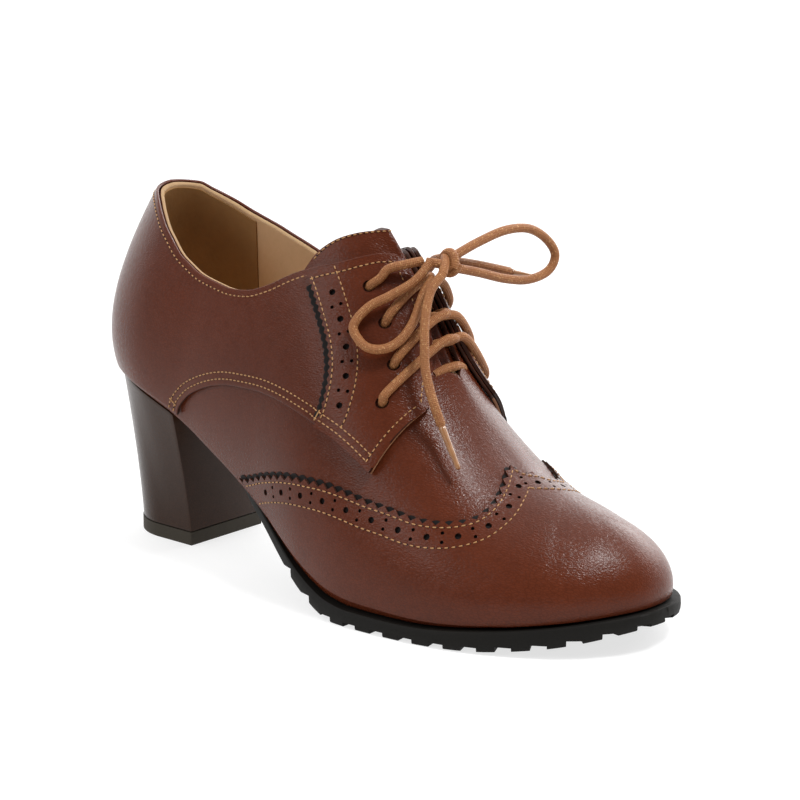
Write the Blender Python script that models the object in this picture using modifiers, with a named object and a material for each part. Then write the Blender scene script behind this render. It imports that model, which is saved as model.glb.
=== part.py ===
"""Women's block heel derby with a wing tip, for the right foot.

Toe along +X, wearer's left (inner side) along +Y, outer side along -Y, up +Z, metres.
The upper and everything that lies on it come from one last surface: a loop of stations
round the foot, each with a feather point, a ridge point and a crowned wall between them.
"""
import bmesh
import bpy
import math
import numpy as np
from mathutils import Vector

MM = 0.001

# Driving sizes
LENGTH = 236 * MM
BALL_WIDTH = 84 * MM
HEEL_SEAT = 60 * MM
INSTEP = 131 * MM
WALL = 1.5 * MM
GAP = 0.35 * MM
PANEL = 1.1 * MM
PANEL_GAP = 0.55 * MM
TONGUE_THICK = 2.0 * MM
INSOLE_THICK = 2.2 * MM
WELT = 3.0 * MM
BREAST = 52 * MM
HEEL_BACK = 15 * MM
HEEL_HALF = 17.4 * MM
LIFT_THICK = 4.7 * MM
LUG_PITCH = 11 * MM
LUG_CUT = 5.2 * MM
LUG_DEPTH = 1.5 * MM
LACE = 1.7 * MM
CENTRE_X = 121.2 * MM
CENTRE_Y = -1.7 * MM
HEM = 0.025

# Height of the feather edge: along (of LENGTH), height (of HEEL_SEAT)
SOLE_LINE = [
    (0.00, 1.045), (0.10, 0.975), (0.20, 0.858), (0.31, 0.650), (0.42, 0.387),
    (0.52, 0.176), (0.61, 0.101), (0.72, 0.105), (0.85, 0.136), (1.00, 0.235)]
# Underside of the outsole: along (of LENGTH), height (of HEEL_SEAT)
UNDERSIDE = [
    (0.20, 0.805), (0.31, 0.592), (0.42, 0.318), (0.50, 0.113), (0.56, 0.022),
    (0.60, 0.000), (0.71, 0.000), (0.79, 0.014), (0.87, 0.044), (1.00, 0.135)]
# Middle line of the toe: along (of LENGTH), sideways (of BALL_WIDTH)
MIDDLE = [(0.0, 0.0), (0.5, 0.0), (0.75, 0.018), (1.0, 0.048)]

# Stations of the last, from the heel back to the toe tip. Columns: feather along (of LENGTH), feather
# half width outer and inner (of BALL_WIDTH), ridge along (of LENGTH), ridge height (of INSTEP),
# crown angle in degrees, swell outer and inner in mm
STATIONS = {
    "heel_back": (0.046, 0.000, 0.000, 0.203, 1.160, 45, 3.2, 3.2),
    "heel_corner": (0.067, 0.186, 0.186, 0.214, 1.160, 45, 3.2, 3.2),
    "heel_side": (0.142, 0.300, 0.298, 0.270, 1.160, 60, 2.8, 2.8),
    "shank": (0.265, 0.322, 0.278, 0.376, 1.145, 74, 2.5, 2.5),
    "waist": (0.400, 0.375, 0.270, 0.505, 1.000, 84, 2.5, 4.0),
    "joint_rear": (0.530, 0.475, 0.380, 0.608, 0.771, 88, 2.0, 3.0),
    "joint": (0.645, 0.505, 0.455, 0.670, 0.556, 90, 2.0, 2.0),
    "toe_side": (0.790, 0.450, 0.450, 0.762, 0.393, 90, 2.0, 2.0),
    "toe_corner": (0.905, 0.292, 0.345, 0.840, 0.321, 90, 2.0, 2.0),
    "toe_front": (0.967, 0.110, 0.210, 0.885, 0.290, 90, 2.0, 2.0),
    "toe_tip": (0.985, -0.050, 0.050, 0.900, 0.282, 90, 2.0, 2.0)}
TIP = len(STATIONS) - 1
LOOP = 2 * TIP

# Top edge of the upper: place along the stations, share of the wall outer and inner
TOP_EDGE = [
    (0.00, 0.655, 0.655), (0.50, 0.652, 0.652), (1.00, 0.640, 0.644), (1.40, 0.612, 0.606), (1.80, 0.562, 0.560),
    (2.23, 0.492, 0.511), (2.60, 0.429, 0.481), (2.95, 0.404, 0.463), (3.28, 0.412, 0.459), (3.58, 0.442, 0.474),
    (3.80, 0.492, 0.510), (4.00, 0.562, 0.562), (4.23, 0.654, 0.654), (4.38, 0.729, 0.729), (4.48, 0.808, 0.808),
    (4.57, 0.900, 0.900), (4.65, 0.955, 0.955), (5.20, 0.945, 0.945), (5.60, 0.930, 0.930), (5.90, 0.930, 0.930),
    (6.05, 1.000, 1.000), (10.0, 1.000, 1.000)]
# Quarters, heel to front: lower edge place and share, upper edge place; its share follows TOP_EDGE
# up to the facing corner and then the facing's own edge
QUARTER = [
    (0.00, 0.020, 0.00, 0.655), (0.35, 0.020, 0.35, 0.653), (0.70, 0.020, 0.70, 0.648), (1.05, 0.020, 1.05, 0.637),
    (1.40, 0.020, 1.40, 0.612), (1.80, 0.020, 1.80, 0.562), (2.36, 0.020, 2.23, 0.492), (2.73, 0.020, 2.60, 0.429),
    (2.79, 0.060, 2.95, 0.404), (2.97, 0.108, 3.28, 0.412), (3.26, 0.166, 3.58, 0.442),
    (3.55, 0.208, 3.80, 0.492), (3.85, 0.250, 4.00, 0.562), (4.20, 0.292, 4.23, 0.654), (4.45, 0.322, 4.38, 0.729),
    (4.65, 0.344, 4.48, 0.808), (4.85, 0.364, 4.57, 0.900), (5.05, 0.380, 4.66, 0.952), (5.35, 0.392, 5.05, 0.940),
    (5.60, 0.397, 5.45, 0.915), (5.75, 0.399, 5.78, 0.850), (5.88, 0.400, 6.05, 0.754)]
# Eyestay, rear edge to front edge: lower end place and share, upper end place and share
EYESTAY = [
    (4.92, 0.385, 4.13, 0.606), (5.00, 0.390, 4.26, 0.664), (5.08, 0.395, 4.38, 0.724), (5.18, 0.400, 4.48, 0.800),
    (5.30, 0.404, 4.57, 0.888), (5.42, 0.408, 4.66, 0.944), (5.55, 0.412, 5.05, 0.934), (5.68, 0.415, 5.45, 0.908),
    (5.78, 0.417, 5.77, 0.842), (5.86, 0.418, 6.03, 0.752)]
# Rear edge of the eyestay, lower end to upper end: place, share
EYESTAY_REAR = [(4.92, 0.385), (4.90, 0.450), (4.83, 0.512), (4.73, 0.546), (4.62, 0.558), (4.45, 0.583), (4.13, 0.606)]
# Wing tip, shank end to toe tip, one table a side: lower edge place, upper edge place and share
WING_OUTER = [
    (3.85, 3.84, 0.050), (4.35, 4.35, 0.125), (4.75, 4.73, 0.192), (5.10, 5.08, 0.242), (5.45, 5.45, 0.279),
    (5.80, 5.80, 0.308), (6.12, 6.08, 0.329), (6.42, 6.33, 0.350), (6.78, 6.62, 0.392), (7.12, 6.90, 0.454),
    (7.45, 7.08, 0.533), (7.72, 7.15, 0.621), (7.98, 7.12, 0.750), (8.20, 7.06, 0.880), (8.45, 7.22, 0.970),
    (8.70, 7.50, 1.000), (9.00, 8.10, 1.000), (9.50, 9.00, 1.000), (10.0, 10.0, 1.000)]
WING_INNER = [
    (3.85, 3.84, 0.050), (4.35, 4.35, 0.125), (4.75, 4.75, 0.192), (5.10, 5.10, 0.242), (5.45, 5.45, 0.279),
    (5.80, 5.80, 0.308), (6.12, 6.12, 0.331), (6.42, 6.42, 0.355), (6.78, 6.75, 0.395), (7.12, 7.03, 0.450),
    (7.45, 7.28, 0.520), (7.72, 7.46, 0.610), (7.98, 7.56, 0.720), (8.20, 7.58, 0.840), (8.45, 7.53, 0.940),
    (8.70, 7.50, 1.000), (9.00, 8.10, 1.000), (9.50, 9.00, 1.000), (10.0, 10.0, 1.000)]
# Tongue, sewn end to free end: place at the middle, place at the side edge, share at the side edge
TONGUE = [
    (6.35, 6.35, 0.900), (6.00, 6.00, 0.860), (5.60, 5.60, 0.820), (5.20, 5.20, 0.790), (4.85, 4.80, 0.760),
    (4.60, 4.50, 0.735), (4.46, 4.30, 0.715), (4.36, 4.14, 0.700)]
# Eyelets, top pair to bottom pair: place, share
EYELETS = [(4.73, 0.775), (5.08, 0.758), (5.45, 0.713), (5.62, 0.604)]


def curve(table, x, column=1):
    """Monotone cubic through one column of a table."""
    data = np.array(table, float)
    xs = data[:, 0]
    ys = data[:, column]
    step = np.diff(xs)
    slope = np.diff(ys) / step
    tangent = np.zeros(len(xs))
    same = slope[:-1] * slope[1:] > 0
    total = np.where(same, slope[:-1] + slope[1:], 1.0)
    tangent[1:-1] = np.where(same, 2 * slope[:-1] * slope[1:] / total, 0.0)
    tangent[0] = slope[0]
    tangent[-1] = slope[-1]
    x = np.clip(np.asarray(x, float), xs[0], xs[-1])
    i = np.clip(np.searchsorted(xs, x) - 1, 0, len(xs) - 2)
    s = (x - xs[i]) / step[i]
    value = ys[i] * (1 + 2 * s) * (1 - s) ** 2 + ys[i + 1] * s * s * (3 - 2 * s)
    return value + step[i] * (tangent[i] * s * (1 - s) ** 2 - tangent[i + 1] * s * s * (1 - s))


def along_rows(table, count):
    """Even samples along a table read by row number, all columns."""
    data = np.array(table, float)
    rows = np.arange(len(data))
    places = np.linspace(0, len(data) - 1, count)
    stacked = np.column_stack([rows, data])
    return np.column_stack([curve(stacked, places, k + 1) for k in range(data.shape[1])])


def sole_height(x):
    return curve(SOLE_LINE, x / LENGTH) * HEEL_SEAT


def underside(x):
    return curve(UNDERSIDE, x / LENGTH) * HEEL_SEAT


def station_loop():
    """Stations up the outer side to the toe tip and back down the inner side."""
    rows = list(STATIONS.values())
    outer = [(al, -half, ra, rh, cr, sw) for al, half, _, ra, rh, cr, sw, _ in rows]
    inner = [(al, half, ra, rh, cr, sw) for al, _, half, ra, rh, cr, _, sw in rows[-2:0:-1]]
    scale = (LENGTH, BALL_WIDTH, LENGTH, INSTEP, math.pi / 180, MM)
    return np.array(outer + inner) * scale


RING = station_loop()


def around(loop):
    """Station values at any place round the loop, as a closed cubic spline."""
    loop = np.asarray(loop, float) % LOOP
    i = np.floor(loop).astype(int)
    s = (loop - i)[..., None]
    a, b, c, d = (RING[(i + k) % LOOP] for k in (-1, 0, 1, 2))
    return 0.5 * (2 * b + (c - a) * s + (2 * a - 5 * b + 4 * c - d) * s ** 2 + (3 * b - a - 3 * c + d) * s ** 3)


def outline_normal(loop):
    """Outward direction of the feather edge in plan."""
    step = (around(loop + 0.02) - around(loop - 0.02))[..., :2]
    step = step / np.linalg.norm(step, axis=-1, keepdims=True)
    return np.stack([step[..., 1], -step[..., 0]], -1)


def bare_wall(loop, share):
    foot_x, foot_y, ridge_x, ridge_z, crown, swell = np.moveaxis(around(loop), -1, 0)
    foot_z = sole_height(foot_x)
    ridge_y = curve(MIDDLE, ridge_x / LENGTH) * BALL_WIDTH
    plan = (1 - np.cos(share * crown)) / (1 - np.cos(crown))
    rise = np.sin(share * crown) / np.sin(crown)
    bulge = swell * 12.2 * share * np.clip(1 - share, 0, None) ** 4
    out = outline_normal(loop)
    x = foot_x + (ridge_x - foot_x) * plan + out[..., 0] * bulge
    y = foot_y + (ridge_y - foot_y) * plan + out[..., 1] * bulge
    return np.stack([x, y, foot_z + (ridge_z - foot_z) * rise], -1)


def wall(loop, share, lift=0.0):
    """A point of the last, lifted off it along its normal."""
    loop, share = np.broadcast_arrays(np.asarray(loop, float), np.asarray(share, float))
    point = bare_wall(loop, share)
    step = 0.01
    sideways = bare_wall(loop + step, share) - bare_wall(loop - step, share)
    up = bare_wall(loop, np.minimum(share + step, 1)) - bare_wall(loop, np.maximum(share - step, 0))
    normal = np.cross(sideways, up)
    normal = normal / np.maximum(np.linalg.norm(normal, axis=-1, keepdims=True), 1e-15)
    ridge = (share > 0.999)[..., None]
    normal = np.where(ridge, flat_normal(loop), normal)
    return point + normal * lift


def flat_normal(loop):
    """Direction square to the ridge, without a sideways part, so both sides agree on it."""
    place = np.minimum(loop % LOOP, LOOP - loop % LOOP)
    ahead = np.minimum(place + 0.05, TIP)
    forward = bare_wall(ahead, np.ones_like(loop)) - bare_wall(ahead - 0.1, np.ones_like(loop))
    normal = np.stack([-forward[..., 2], np.zeros_like(loop), forward[..., 0]], -1)
    return normal / np.maximum(np.linalg.norm(normal, axis=-1, keepdims=True), 1e-15)


def inner_loop(place):
    return LOOP - np.asarray(place, float)


for obj in list(bpy.data.objects):
    bpy.data.objects.remove(obj, do_unlink=True)
parts = bpy.data.collections.new("block_heel_shoe")
tools = bpy.data.collections.new("cutters")
bpy.context.scene.collection.children.link(parts)
bpy.context.scene.collection.children.link(tools)


def material(name, colour, rough, coat=0.0):
    mat = bpy.data.materials.new(name)
    mat.use_nodes = True
    shader = mat.node_tree.nodes["Principled BSDF"]
    shader.inputs["Base Color"].default_value = (*colour, 1)
    shader.inputs["Roughness"].default_value = rough
    shader.inputs["Coat Weight"].default_value = coat
    mat.diffuse_color = (*colour, 1)
    return mat


def add_mesh(name, points, faces, mat, home=None):
    """One object from points in the last's own axes, moved to the frame's origin."""
    shift = np.array([-CENTRE_X, -CENTRE_Y, 0.0])
    mesh = bpy.data.meshes.new(name)
    mesh.from_pydata([tuple(p) for p in np.asarray(points) + shift], [], faces)
    bm = bmesh.new()
    bm.from_mesh(mesh)
    bmesh.ops.remove_doubles(bm, verts=bm.verts, dist=0.00002)
    bmesh.ops.dissolve_degenerate(bm, edges=bm.edges, dist=0.00001)
    bmesh.ops.recalc_face_normals(bm, faces=bm.faces)
    bm.to_mesh(mesh)
    bm.free()
    obj = bpy.data.objects.new(name, mesh)
    (home or parts).objects.link(obj)
    if mat:
        mesh.materials.append(mat)
    return obj


def apply_modifiers(obj):
    graph = bpy.context.evaluated_depsgraph_get()
    mesh = bpy.data.meshes.new_from_object(obj.evaluated_get(graph))
    obj.modifiers.clear()
    obj.data = mesh


def grid_faces(rows, columns, closed=False):
    """Quads of a grid kept row by row; closed joins the last row to the first."""
    faces = []
    for i in range(rows if closed else rows - 1):
        j = (i + 1) % rows
        for k in range(columns - 1):
            faces.append((i * columns + k, j * columns + k, j * columns + k + 1, i * columns + k + 1))
    return faces


def sheet(name, grid, thick, side, mat, closed=False, even=False):
    """A lofted grid of points made solid; side is +1 to thicken outward and -1 inward."""
    rows, columns = grid.shape[:2]
    obj = add_mesh(name, grid.reshape(-1, 3), grid_faces(rows, columns, closed), mat)
    centre = grid.reshape(-1, 3).mean(0) - (CENTRE_X, CENTRE_Y, 0)
    turn_out(obj, Vector(centre))
    solid = obj.modifiers.new("wall", "SOLIDIFY")
    solid.thickness = thick
    solid.offset = side
    solid.use_even_offset = even
    solid.use_rim = True
    apply_modifiers(obj)
    return obj


def turn_out(obj, centre):
    """Face an open sheet away from a point inside it."""
    vote = sum((p.center - centre).dot(p.normal) * p.area for p in obj.data.polygons)
    if vote < 0:
        obj.data.flip_normals()


def boolean(obj, other, operation):
    mod = obj.modifiers.new(operation.lower(), "BOOLEAN")
    mod.operation = operation
    mod.object = other
    mod.solver = "EXACT"
    apply_modifiers(obj)


LEATHER = material("leather", (0.140, 0.042, 0.023), 0.42, 0.2)
LINING = material("lining", (0.300, 0.205, 0.115), 0.8)
RUBBER = material("rubber", (0.020, 0.017, 0.015), 0.6)
HEEL_BOARD = material("heel_cover", (0.045, 0.027, 0.021), 0.5)
CORD = material("lace_cord", (0.456, 0.190, 0.070), 0.6)
TAG = material("aglet", (0.520, 0.300, 0.160), 0.25)

# Upper: one hollow shell, open at the collar, the throat and underneath
places = np.concatenate([
    np.linspace(0, 3.6, 13), np.linspace(3.8, 4.4, 4), [4.5, 4.58, 4.66],
    np.linspace(4.9, 5.9, 5), np.linspace(6.05, 10, 15)])
outer_top = curve(TOP_EDGE, places, 1)
inner_top = curve(TOP_EDGE, places, 2)
loops = np.concatenate([places, inner_loop(places[-2:0:-1])])
tops = np.concatenate([outer_top, inner_top[-2:0:-1]])
shares = np.linspace(0, 1, 10)
upper_grid = wall(loops[:, None], tops[:, None] * shares[None, :])
upper = sheet("upper", upper_grid, WALL, -1, LEATHER, closed=True)

# Quarters: one panel from facing to facing round the heel
rows = along_rows(QUARTER, 34)
mix = np.linspace(0, 1, 8)[None, :]


def ruled(table, side):
    """Loop and share of a panel's grid between its lower and upper edge."""
    place = table[:, 0:1] * (1 - mix) + table[:, 2:3] * mix
    share = table[:, 1:2] * (1 - mix) + table[:, 3:4] * mix
    return (place if side < 0 else inner_loop(place)), share


inner_rows = rows.copy()
collar = inner_rows[:, 2] < 4.0
inner_rows[collar, 3] = curve(TOP_EDGE, inner_rows[collar, 2], 2)
outer_loop, outer_share = ruled(rows, -1)
back_loop, back_share = ruled(inner_rows, 1)
quarter_loop = np.concatenate([back_loop[:0:-1] - LOOP, outer_loop])
quarter_share = np.concatenate([back_share[:0:-1], outer_share])
quarters = sheet("quarters", wall(quarter_loop, quarter_share, PANEL_GAP), PANEL, 1, LEATHER)

# Eyestays: curved rear edge, so the ruled grid is bent to it and the bend fades to the front
FACING = PANEL_GAP + PANEL + GAP
for side, name in ((-1, "eyestay_outer"), (1, "eyestay_inner")):
    stay = along_rows(EYESTAY, 12)
    stay_place = stay[:, 0:1] * (1 - mix) + stay[:, 2:3] * mix
    stay_share = stay[:, 1:2] * (1 - mix) + stay[:, 3:4] * mix
    rear = along_rows(EYESTAY_REAR, mix.shape[1])
    fade = np.linspace(1, 0, 12)[:, None] ** 2
    stay_place = stay_place + fade * (rear[:, 0][None, :] - stay_place[0][None, :])
    stay_share = stay_share + fade * (rear[:, 1][None, :] - stay_share[0][None, :])
    stay_loop = stay_place if side < 0 else inner_loop(stay_place)
    sheet(name, wall(stay_loop, stay_share, FACING), PANEL, 1, LEATHER)

# Wing tip: both sides fold over the toe and join along the ridge
wing_mix = np.linspace(0, 1, 8)[None, :]


def wing_side(table, side):
    rows = along_rows(table, 37)
    data = np.array(table)
    ridge = rows[:, 2] > 0.999
    rows[ridge, 1] = np.interp(rows[ridge, 0], data[:, 0], data[:, 1])
    place = rows[:, 0:1] * (1 - wing_mix) + rows[:, 1:2] * wing_mix
    share = HEM * (1 - wing_mix) + rows[:, 2:3] * wing_mix
    loop = place if side < 0 else inner_loop(place)
    return wall(loop, share, PANEL_GAP)


wing_grid = np.concatenate([wing_side(WING_OUTER, -1), wing_side(WING_INNER, 1)[-2::-1]])
wing = sheet("wing_tip", wing_grid, PANEL, 1, LEATHER)

# Tongue: the same last inside the upper, from under the vamp to above the facings
tongue_rows = along_rows(TONGUE, 15)
across = np.linspace(-1, 1, 11)[None, :]
blend = across ** 2 * (3 - 2 * np.abs(across))
tongue_place = tongue_rows[:, 0:1] * (1 - blend) + tongue_rows[:, 1:2] * blend
tongue_share = 1 - np.abs(across) * (1 - tongue_rows[:, 2:3])
tongue_loop = np.where(across < 0, tongue_place, inner_loop(tongue_place))
tongue_grid = wall(tongue_loop, tongue_share, -WALL - 1.6 * GAP)
tongue = sheet("tongue", tongue_grid, TONGUE_THICK, -1, LEATHER)


def ribbed_slab(name, places, margin, top, bottom, mat, columns=7):
    """A slab under the foot: ribs run across between the outer and inner outline."""
    outer = around(places)[:, :2] + outline_normal(places) * margin[:, None]
    back = inner_loop(places)
    inner = around(back)[:, :2] + outline_normal(back) * margin[:, None]
    part = np.linspace(0, 1, columns)[None, :, None]
    plan = outer[:, None] * (1 - part) + inner[:, None] * part
    above = np.concatenate([plan, top(plan[..., :1])], -1)
    below = np.concatenate([plan, bottom(plan[..., :1])], -1)
    section = np.concatenate([above, below[:, ::-1]], 1)
    rows, columns = section.shape[:2]
    faces = []
    for i in range(rows - 1):
        for k in range(columns):
            n = (k + 1) % columns
            faces.append((i * columns + k, i * columns + n, (i + 1) * columns + n, (i + 1) * columns + k))
    faces.append(tuple(range(columns)))
    faces.append(tuple((rows - 1) * columns + k for k in range(columns)))
    return add_mesh(name, section.reshape(-1, 3), faces, mat)


# Outsole from the heel breast to the toe, with notches cut round the forefoot edge
sole_places = np.concatenate([np.linspace(2.68, 5, 10), np.linspace(5.25, 8, 12), np.linspace(8.2, 9.9, 10)])
sole_margin = WELT * curve([(2.6, -1.5), (3.8, -1.5), (4.5, -0.2), (5.2, 0.75), (6.0, 1.0), (10.0, 1.0)], sole_places)
outsole = ribbed_slab(
    "outsole", sole_places, sole_margin, lambda x: sole_height(x) - GAP, underside, RUBBER, 5)
rim = np.linspace(4.6, LOOP - 4.6, 400)
rim_plan = around(rim)[:, :2] + outline_normal(rim) * WELT
run = np.concatenate([[0], np.cumsum(np.linalg.norm(np.diff(rim_plan, axis=0), axis=1))])
cuts = np.arange(LUG_PITCH / 2, run[-1], LUG_PITCH)
cut_points = []
cut_faces = []
for far in cuts:
    loop = np.interp(far, run, rim)
    out = outline_normal(loop)
    edge = np.array([np.interp(far, run, rim_plan[:, 0]), np.interp(far, run, rim_plan[:, 1])])
    tangent = np.array([-out[1], out[0]])
    floor = underside(edge[0])
    base = len(cut_points)
    for depth in (-7 * MM, 4 * MM):
        for sideways in (-LUG_CUT / 2, LUG_CUT / 2):
            for height in (floor - 6 * MM, floor + LUG_DEPTH):
                spot = edge + out * depth + tangent * sideways
                cut_points.append((spot[0], spot[1], height))
    cut_faces += [tuple(base + k for k in q) for q in (
        (0, 1, 3, 2), (4, 6, 7, 5), (0, 4, 5, 1), (2, 3, 7, 6), (0, 2, 6, 4), (1, 5, 7, 3))]
notches = add_mesh("lug_notches", cut_points, cut_faces, None, tools)
notches.hide_render = True
notches.display_type = "WIRE"
boolean(outsole, notches, "DIFFERENCE")

# Insole, inside the wall
insole_places = np.linspace(0.25, 9.75, 26)
insole_margin = np.full(len(insole_places), -WALL - 1.0 * MM)
insole = ribbed_slab(
    "insole", insole_places, insole_margin, lambda x: sole_height(x) + INSOLE_THICK,
    lambda x: sole_height(x) + 0.1 * MM, LINING, 6)

# Heel block: rings from the heel seat down to a smaller straight-fronted foot
seat_end = float(np.interp(BREAST - 0.5 * MM, around(np.linspace(2, 3, 60))[:, 0], np.linspace(2, 3, 60)))
seat = np.linspace(-seat_end, seat_end, 29)
seat_plan = around(seat)[:, :2] + outline_normal(seat) * 0.2 * MM
seat_plan[0, 0] = BREAST - 0.5 * MM
seat_plan[-1, 0] = BREAST - 0.5 * MM


def heel_foot(count, half, back, front):
    """Flat-fronted outline: straight sides and an elliptic back, evenly spaced."""
    turn = np.linspace(math.pi / 2, -math.pi / 2, 61)
    depth = 19 * MM
    bend = np.column_stack([back + depth - depth * np.cos(turn), half * np.sin(turn)])
    line = np.concatenate([[(front, half)], bend, [(front, -half)]])
    run = np.concatenate([[0], np.cumsum(np.linalg.norm(np.diff(line, axis=0), axis=1))])
    far = np.linspace(0, run[-1], count)
    return np.column_stack([np.interp(far, run, line[:, 0]), np.interp(far, run, line[:, 1])])


foot_plan = heel_foot(len(seat), HEEL_HALF, HEEL_BACK, BREAST - 2 * MM)


def ring_stack(name, rings, mat):
    """A block from a stack of rings that are open at the front; caps run across in strips."""
    count = rings[0].shape[0]
    points = np.concatenate(rings)
    faces = []
    for i in range(len(rings) - 1):
        for k in range(count):
            n = (k + 1) % count
            faces.append((i * count + k, i * count + n, (i + 1) * count + n, (i + 1) * count + k))
    for base in (0, (len(rings) - 1) * count):
        for k in range(count // 2):
            quad = [base + k, base + k + 1, base + count - 2 - k, base + count - 1 - k]
            faces.append(tuple(dict.fromkeys(quad)))
    return add_mesh(name, points, faces, mat)


heel_rings = []
for part in np.linspace(0, 1, 7):
    plan = seat_plan * (1 - part) ** 1.25 + foot_plan * (1 - (1 - part) ** 1.25)
    top = sole_height(plan[:, 0]) - GAP
    low = LIFT_THICK + GAP
    height = top * (1 - part) + low * part
    heel_rings.append(np.column_stack([plan, height]))
heel = ring_stack("heel", heel_rings, HEEL_BOARD)
lift_plan = heel_foot(len(seat), HEEL_HALF + 0.2 * MM, HEEL_BACK - 0.2 * MM, BREAST - 1.8 * MM)
lift_rings = [np.column_stack([lift_plan, np.full(len(lift_plan), z)]) for z in (LIFT_THICK, 0.0)]
lift = ring_stack("heel_top_lift", lift_rings, RUBBER)

# Lace: two zigzags and the bottom bar joined in one solid, lying on the facings
LACE_LIFT = FACING + PANEL + 0.4 * MM + LACE


def tube(name, path, radius, mat):
    """A round cord along a path of points in the last's own axes."""
    data = bpy.data.curves.new(name, "CURVE")
    data.dimensions = "3D"
    data.bevel_depth = radius
    data.bevel_resolution = 1
    data.use_fill_caps = True
    spline = data.splines.new("POLY")
    spline.points.add(len(path) - 1)
    for spot, point in zip(spline.points, path):
        spot.co = (point[0] - CENTRE_X, point[1] - CENTRE_Y, point[2], 1)
    rod = bpy.data.objects.new(name + "_path", data)
    tools.objects.link(rod)
    graph = bpy.context.evaluated_depsgraph_get()
    mesh = bpy.data.meshes.new_from_object(rod.evaluated_get(graph))
    bpy.data.objects.remove(rod, do_unlink=True)
    mesh.materials.clear()
    mesh.materials.append(mat)
    bm = bmesh.new()
    bm.from_mesh(mesh)
    bmesh.ops.remove_doubles(bm, verts=bm.verts, dist=0.00001)
    bm.to_mesh(mesh)
    bm.free()
    obj = bpy.data.objects.new(name, mesh)
    parts.objects.link(obj)
    return obj


def smooth_path(points, count):
    """Even points on a cubic spline through a few given ones."""
    data = np.array(points, float)
    data = np.concatenate([[2 * data[0] - data[1]], data, [2 * data[-1] - data[-2]]])
    where = np.linspace(0, len(data) - 3, count)
    i = np.minimum(where.astype(int), len(data) - 4)
    s = (where - i)[:, None]
    a, b, c, d = data[i], data[i + 1], data[i + 2], data[i + 3]
    return 0.5 * (2 * b + (c - a) * s + (2 * a - 5 * b + 4 * c - d) * s ** 2 + (3 * b - a - 3 * c + d) * s ** 3)


def zigzag(first_side):
    """Cord centres from the bottom eyelet up, changing side at each pair."""
    spots = []
    side = first_side
    for place, share in reversed(EYELETS):
        spots.append((place, side * (1 - share)))
        side = -side
    spots = np.array(spots)
    fine = np.linspace(0, len(spots) - 1, 19)
    place = np.interp(fine, np.arange(len(spots)), spots[:, 0])
    lean = np.interp(fine, np.arange(len(spots)), spots[:, 1])
    loop = np.where(lean < 0, place, inner_loop(place))
    return wall(loop, 1 - np.abs(lean), LACE_LIFT)


KNOT = np.array([150.1, 1.5, 111.5]) * MM
KNOT_SIZE = np.array([4.3, 3.9, 4.8]) * MM
TO_KNOT_OUTER = [(137.0, -11.3, 109.5), (142.4, -7.2, 111.3), (145.0, -4.0, 112.0)]
TO_KNOT_INNER = [(137.0, 11.0, 109.0), (142.0, 8.0, 110.6), (144.6, 5.2, 111.4)]
LOOP_OUTER = [
    (148.3, -3.4, 112.4), (146.5, -9.7, 106.5), (141.7, -16.0, 102.1), (136.9, -20.8, 98.6), (134.2, -24.8, 93.6),
    (135.5, -26.1, 90.4), (140.2, -25.9, 86.8), (145.0, -23.1, 86.4), (148.2, -19.0, 88.9), (149.7, -14.2, 94.3),
    (149.2, -8.6, 102.5), (149.4, -4.4, 107.4)]
LOOP_INNER = [
    (150.6, 5.55, 113.2), (152.2, 15.4, 116.3), (153.9, 26.9, 118.7), (155.4, 37.3, 118.0), (156.6, 45.2, 113.7),
    (157.3, 49.4, 107.8), (156.8, 46.4, 102.7), (155.5, 37.6, 100.9), (153.9, 27.1, 102.6), (152.2, 15.5, 106.2),
    (150.6, 5.5, 109.0)]
END_OUTER = [
    (153.4, -3.9, 109.0), (153.2, -9.8, 104.0), (155.0, -14.5, 96.3), (157.3, -17.5, 88.5), (159.3, -19.3, 80.8),
    (163.2, -20.6, 72.7), (166.8, -20.5, 64.9)]
END_INNER = [(147.0, 7.7, 110.6), (148.0, 19.6, 107.6), (149.3, 29.0, 104.9), (150.0, 34.0, 103.4)]
AGLET_OUTER = [(166.95, -20.55, 64.5), (176.0, -22.9, 52.5)]
AGLET_INNER = [(150.1, 34.4, 103.3), (151.4, 45.0, 100.4)]

outer_run = np.concatenate([zigzag(1), smooth_path(TO_KNOT_OUTER, 5) * MM])
inner_run = np.concatenate([zigzag(-1), smooth_path(TO_KNOT_INNER, 5) * MM])
lace = tube("lace_crossings", outer_run, LACE, CORD)
inner_rod = tube("inner_rod", inner_run, LACE, CORD)
bar_place, bar_share = EYELETS[-1]
bar_lean = np.linspace(-1, 1, 11) * (1 - bar_share)
bar_along = bar_place + 0.12 * (1 - (bar_lean / bar_lean[-1]) ** 2)
bar_path = wall(np.where(bar_lean < 0, bar_along, inner_loop(bar_along)), 1 - np.abs(bar_lean), LACE_LIFT)
bar_rod = tube("bar_rod", bar_path, LACE, CORD)
for rod in (inner_rod, bar_rod):
    boolean(lace, rod, "UNION")
    bpy.data.objects.remove(rod, do_unlink=True)

ball = bpy.data.meshes.new("lace_knot")
bm = bmesh.new()
bmesh.ops.create_uvsphere(bm, u_segments=12, v_segments=8, radius=1.0)
bmesh.ops.scale(bm, vec=Vector(KNOT_SIZE), verts=bm.verts)
bmesh.ops.translate(bm, vec=Vector(KNOT - (CENTRE_X, CENTRE_Y, 0)), verts=bm.verts)
bm.to_mesh(ball)
bm.free()
ball.materials.append(CORD)
parts.objects.link(bpy.data.objects.new("lace_knot", ball))
tube("lace_loop_outer", smooth_path(LOOP_OUTER, 27) * MM, LACE, CORD)
tube("lace_loop_inner", smooth_path(LOOP_INNER, 25) * MM, LACE, CORD)
tube("lace_end_outer", smooth_path(END_OUTER, 13) * MM, LACE, CORD)
tube("lace_end_inner", smooth_path(END_INNER, 7) * MM, LACE, CORD)
tube("aglet_outer", np.array(AGLET_OUTER) * MM, LACE * 0.8, TAG)
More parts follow.
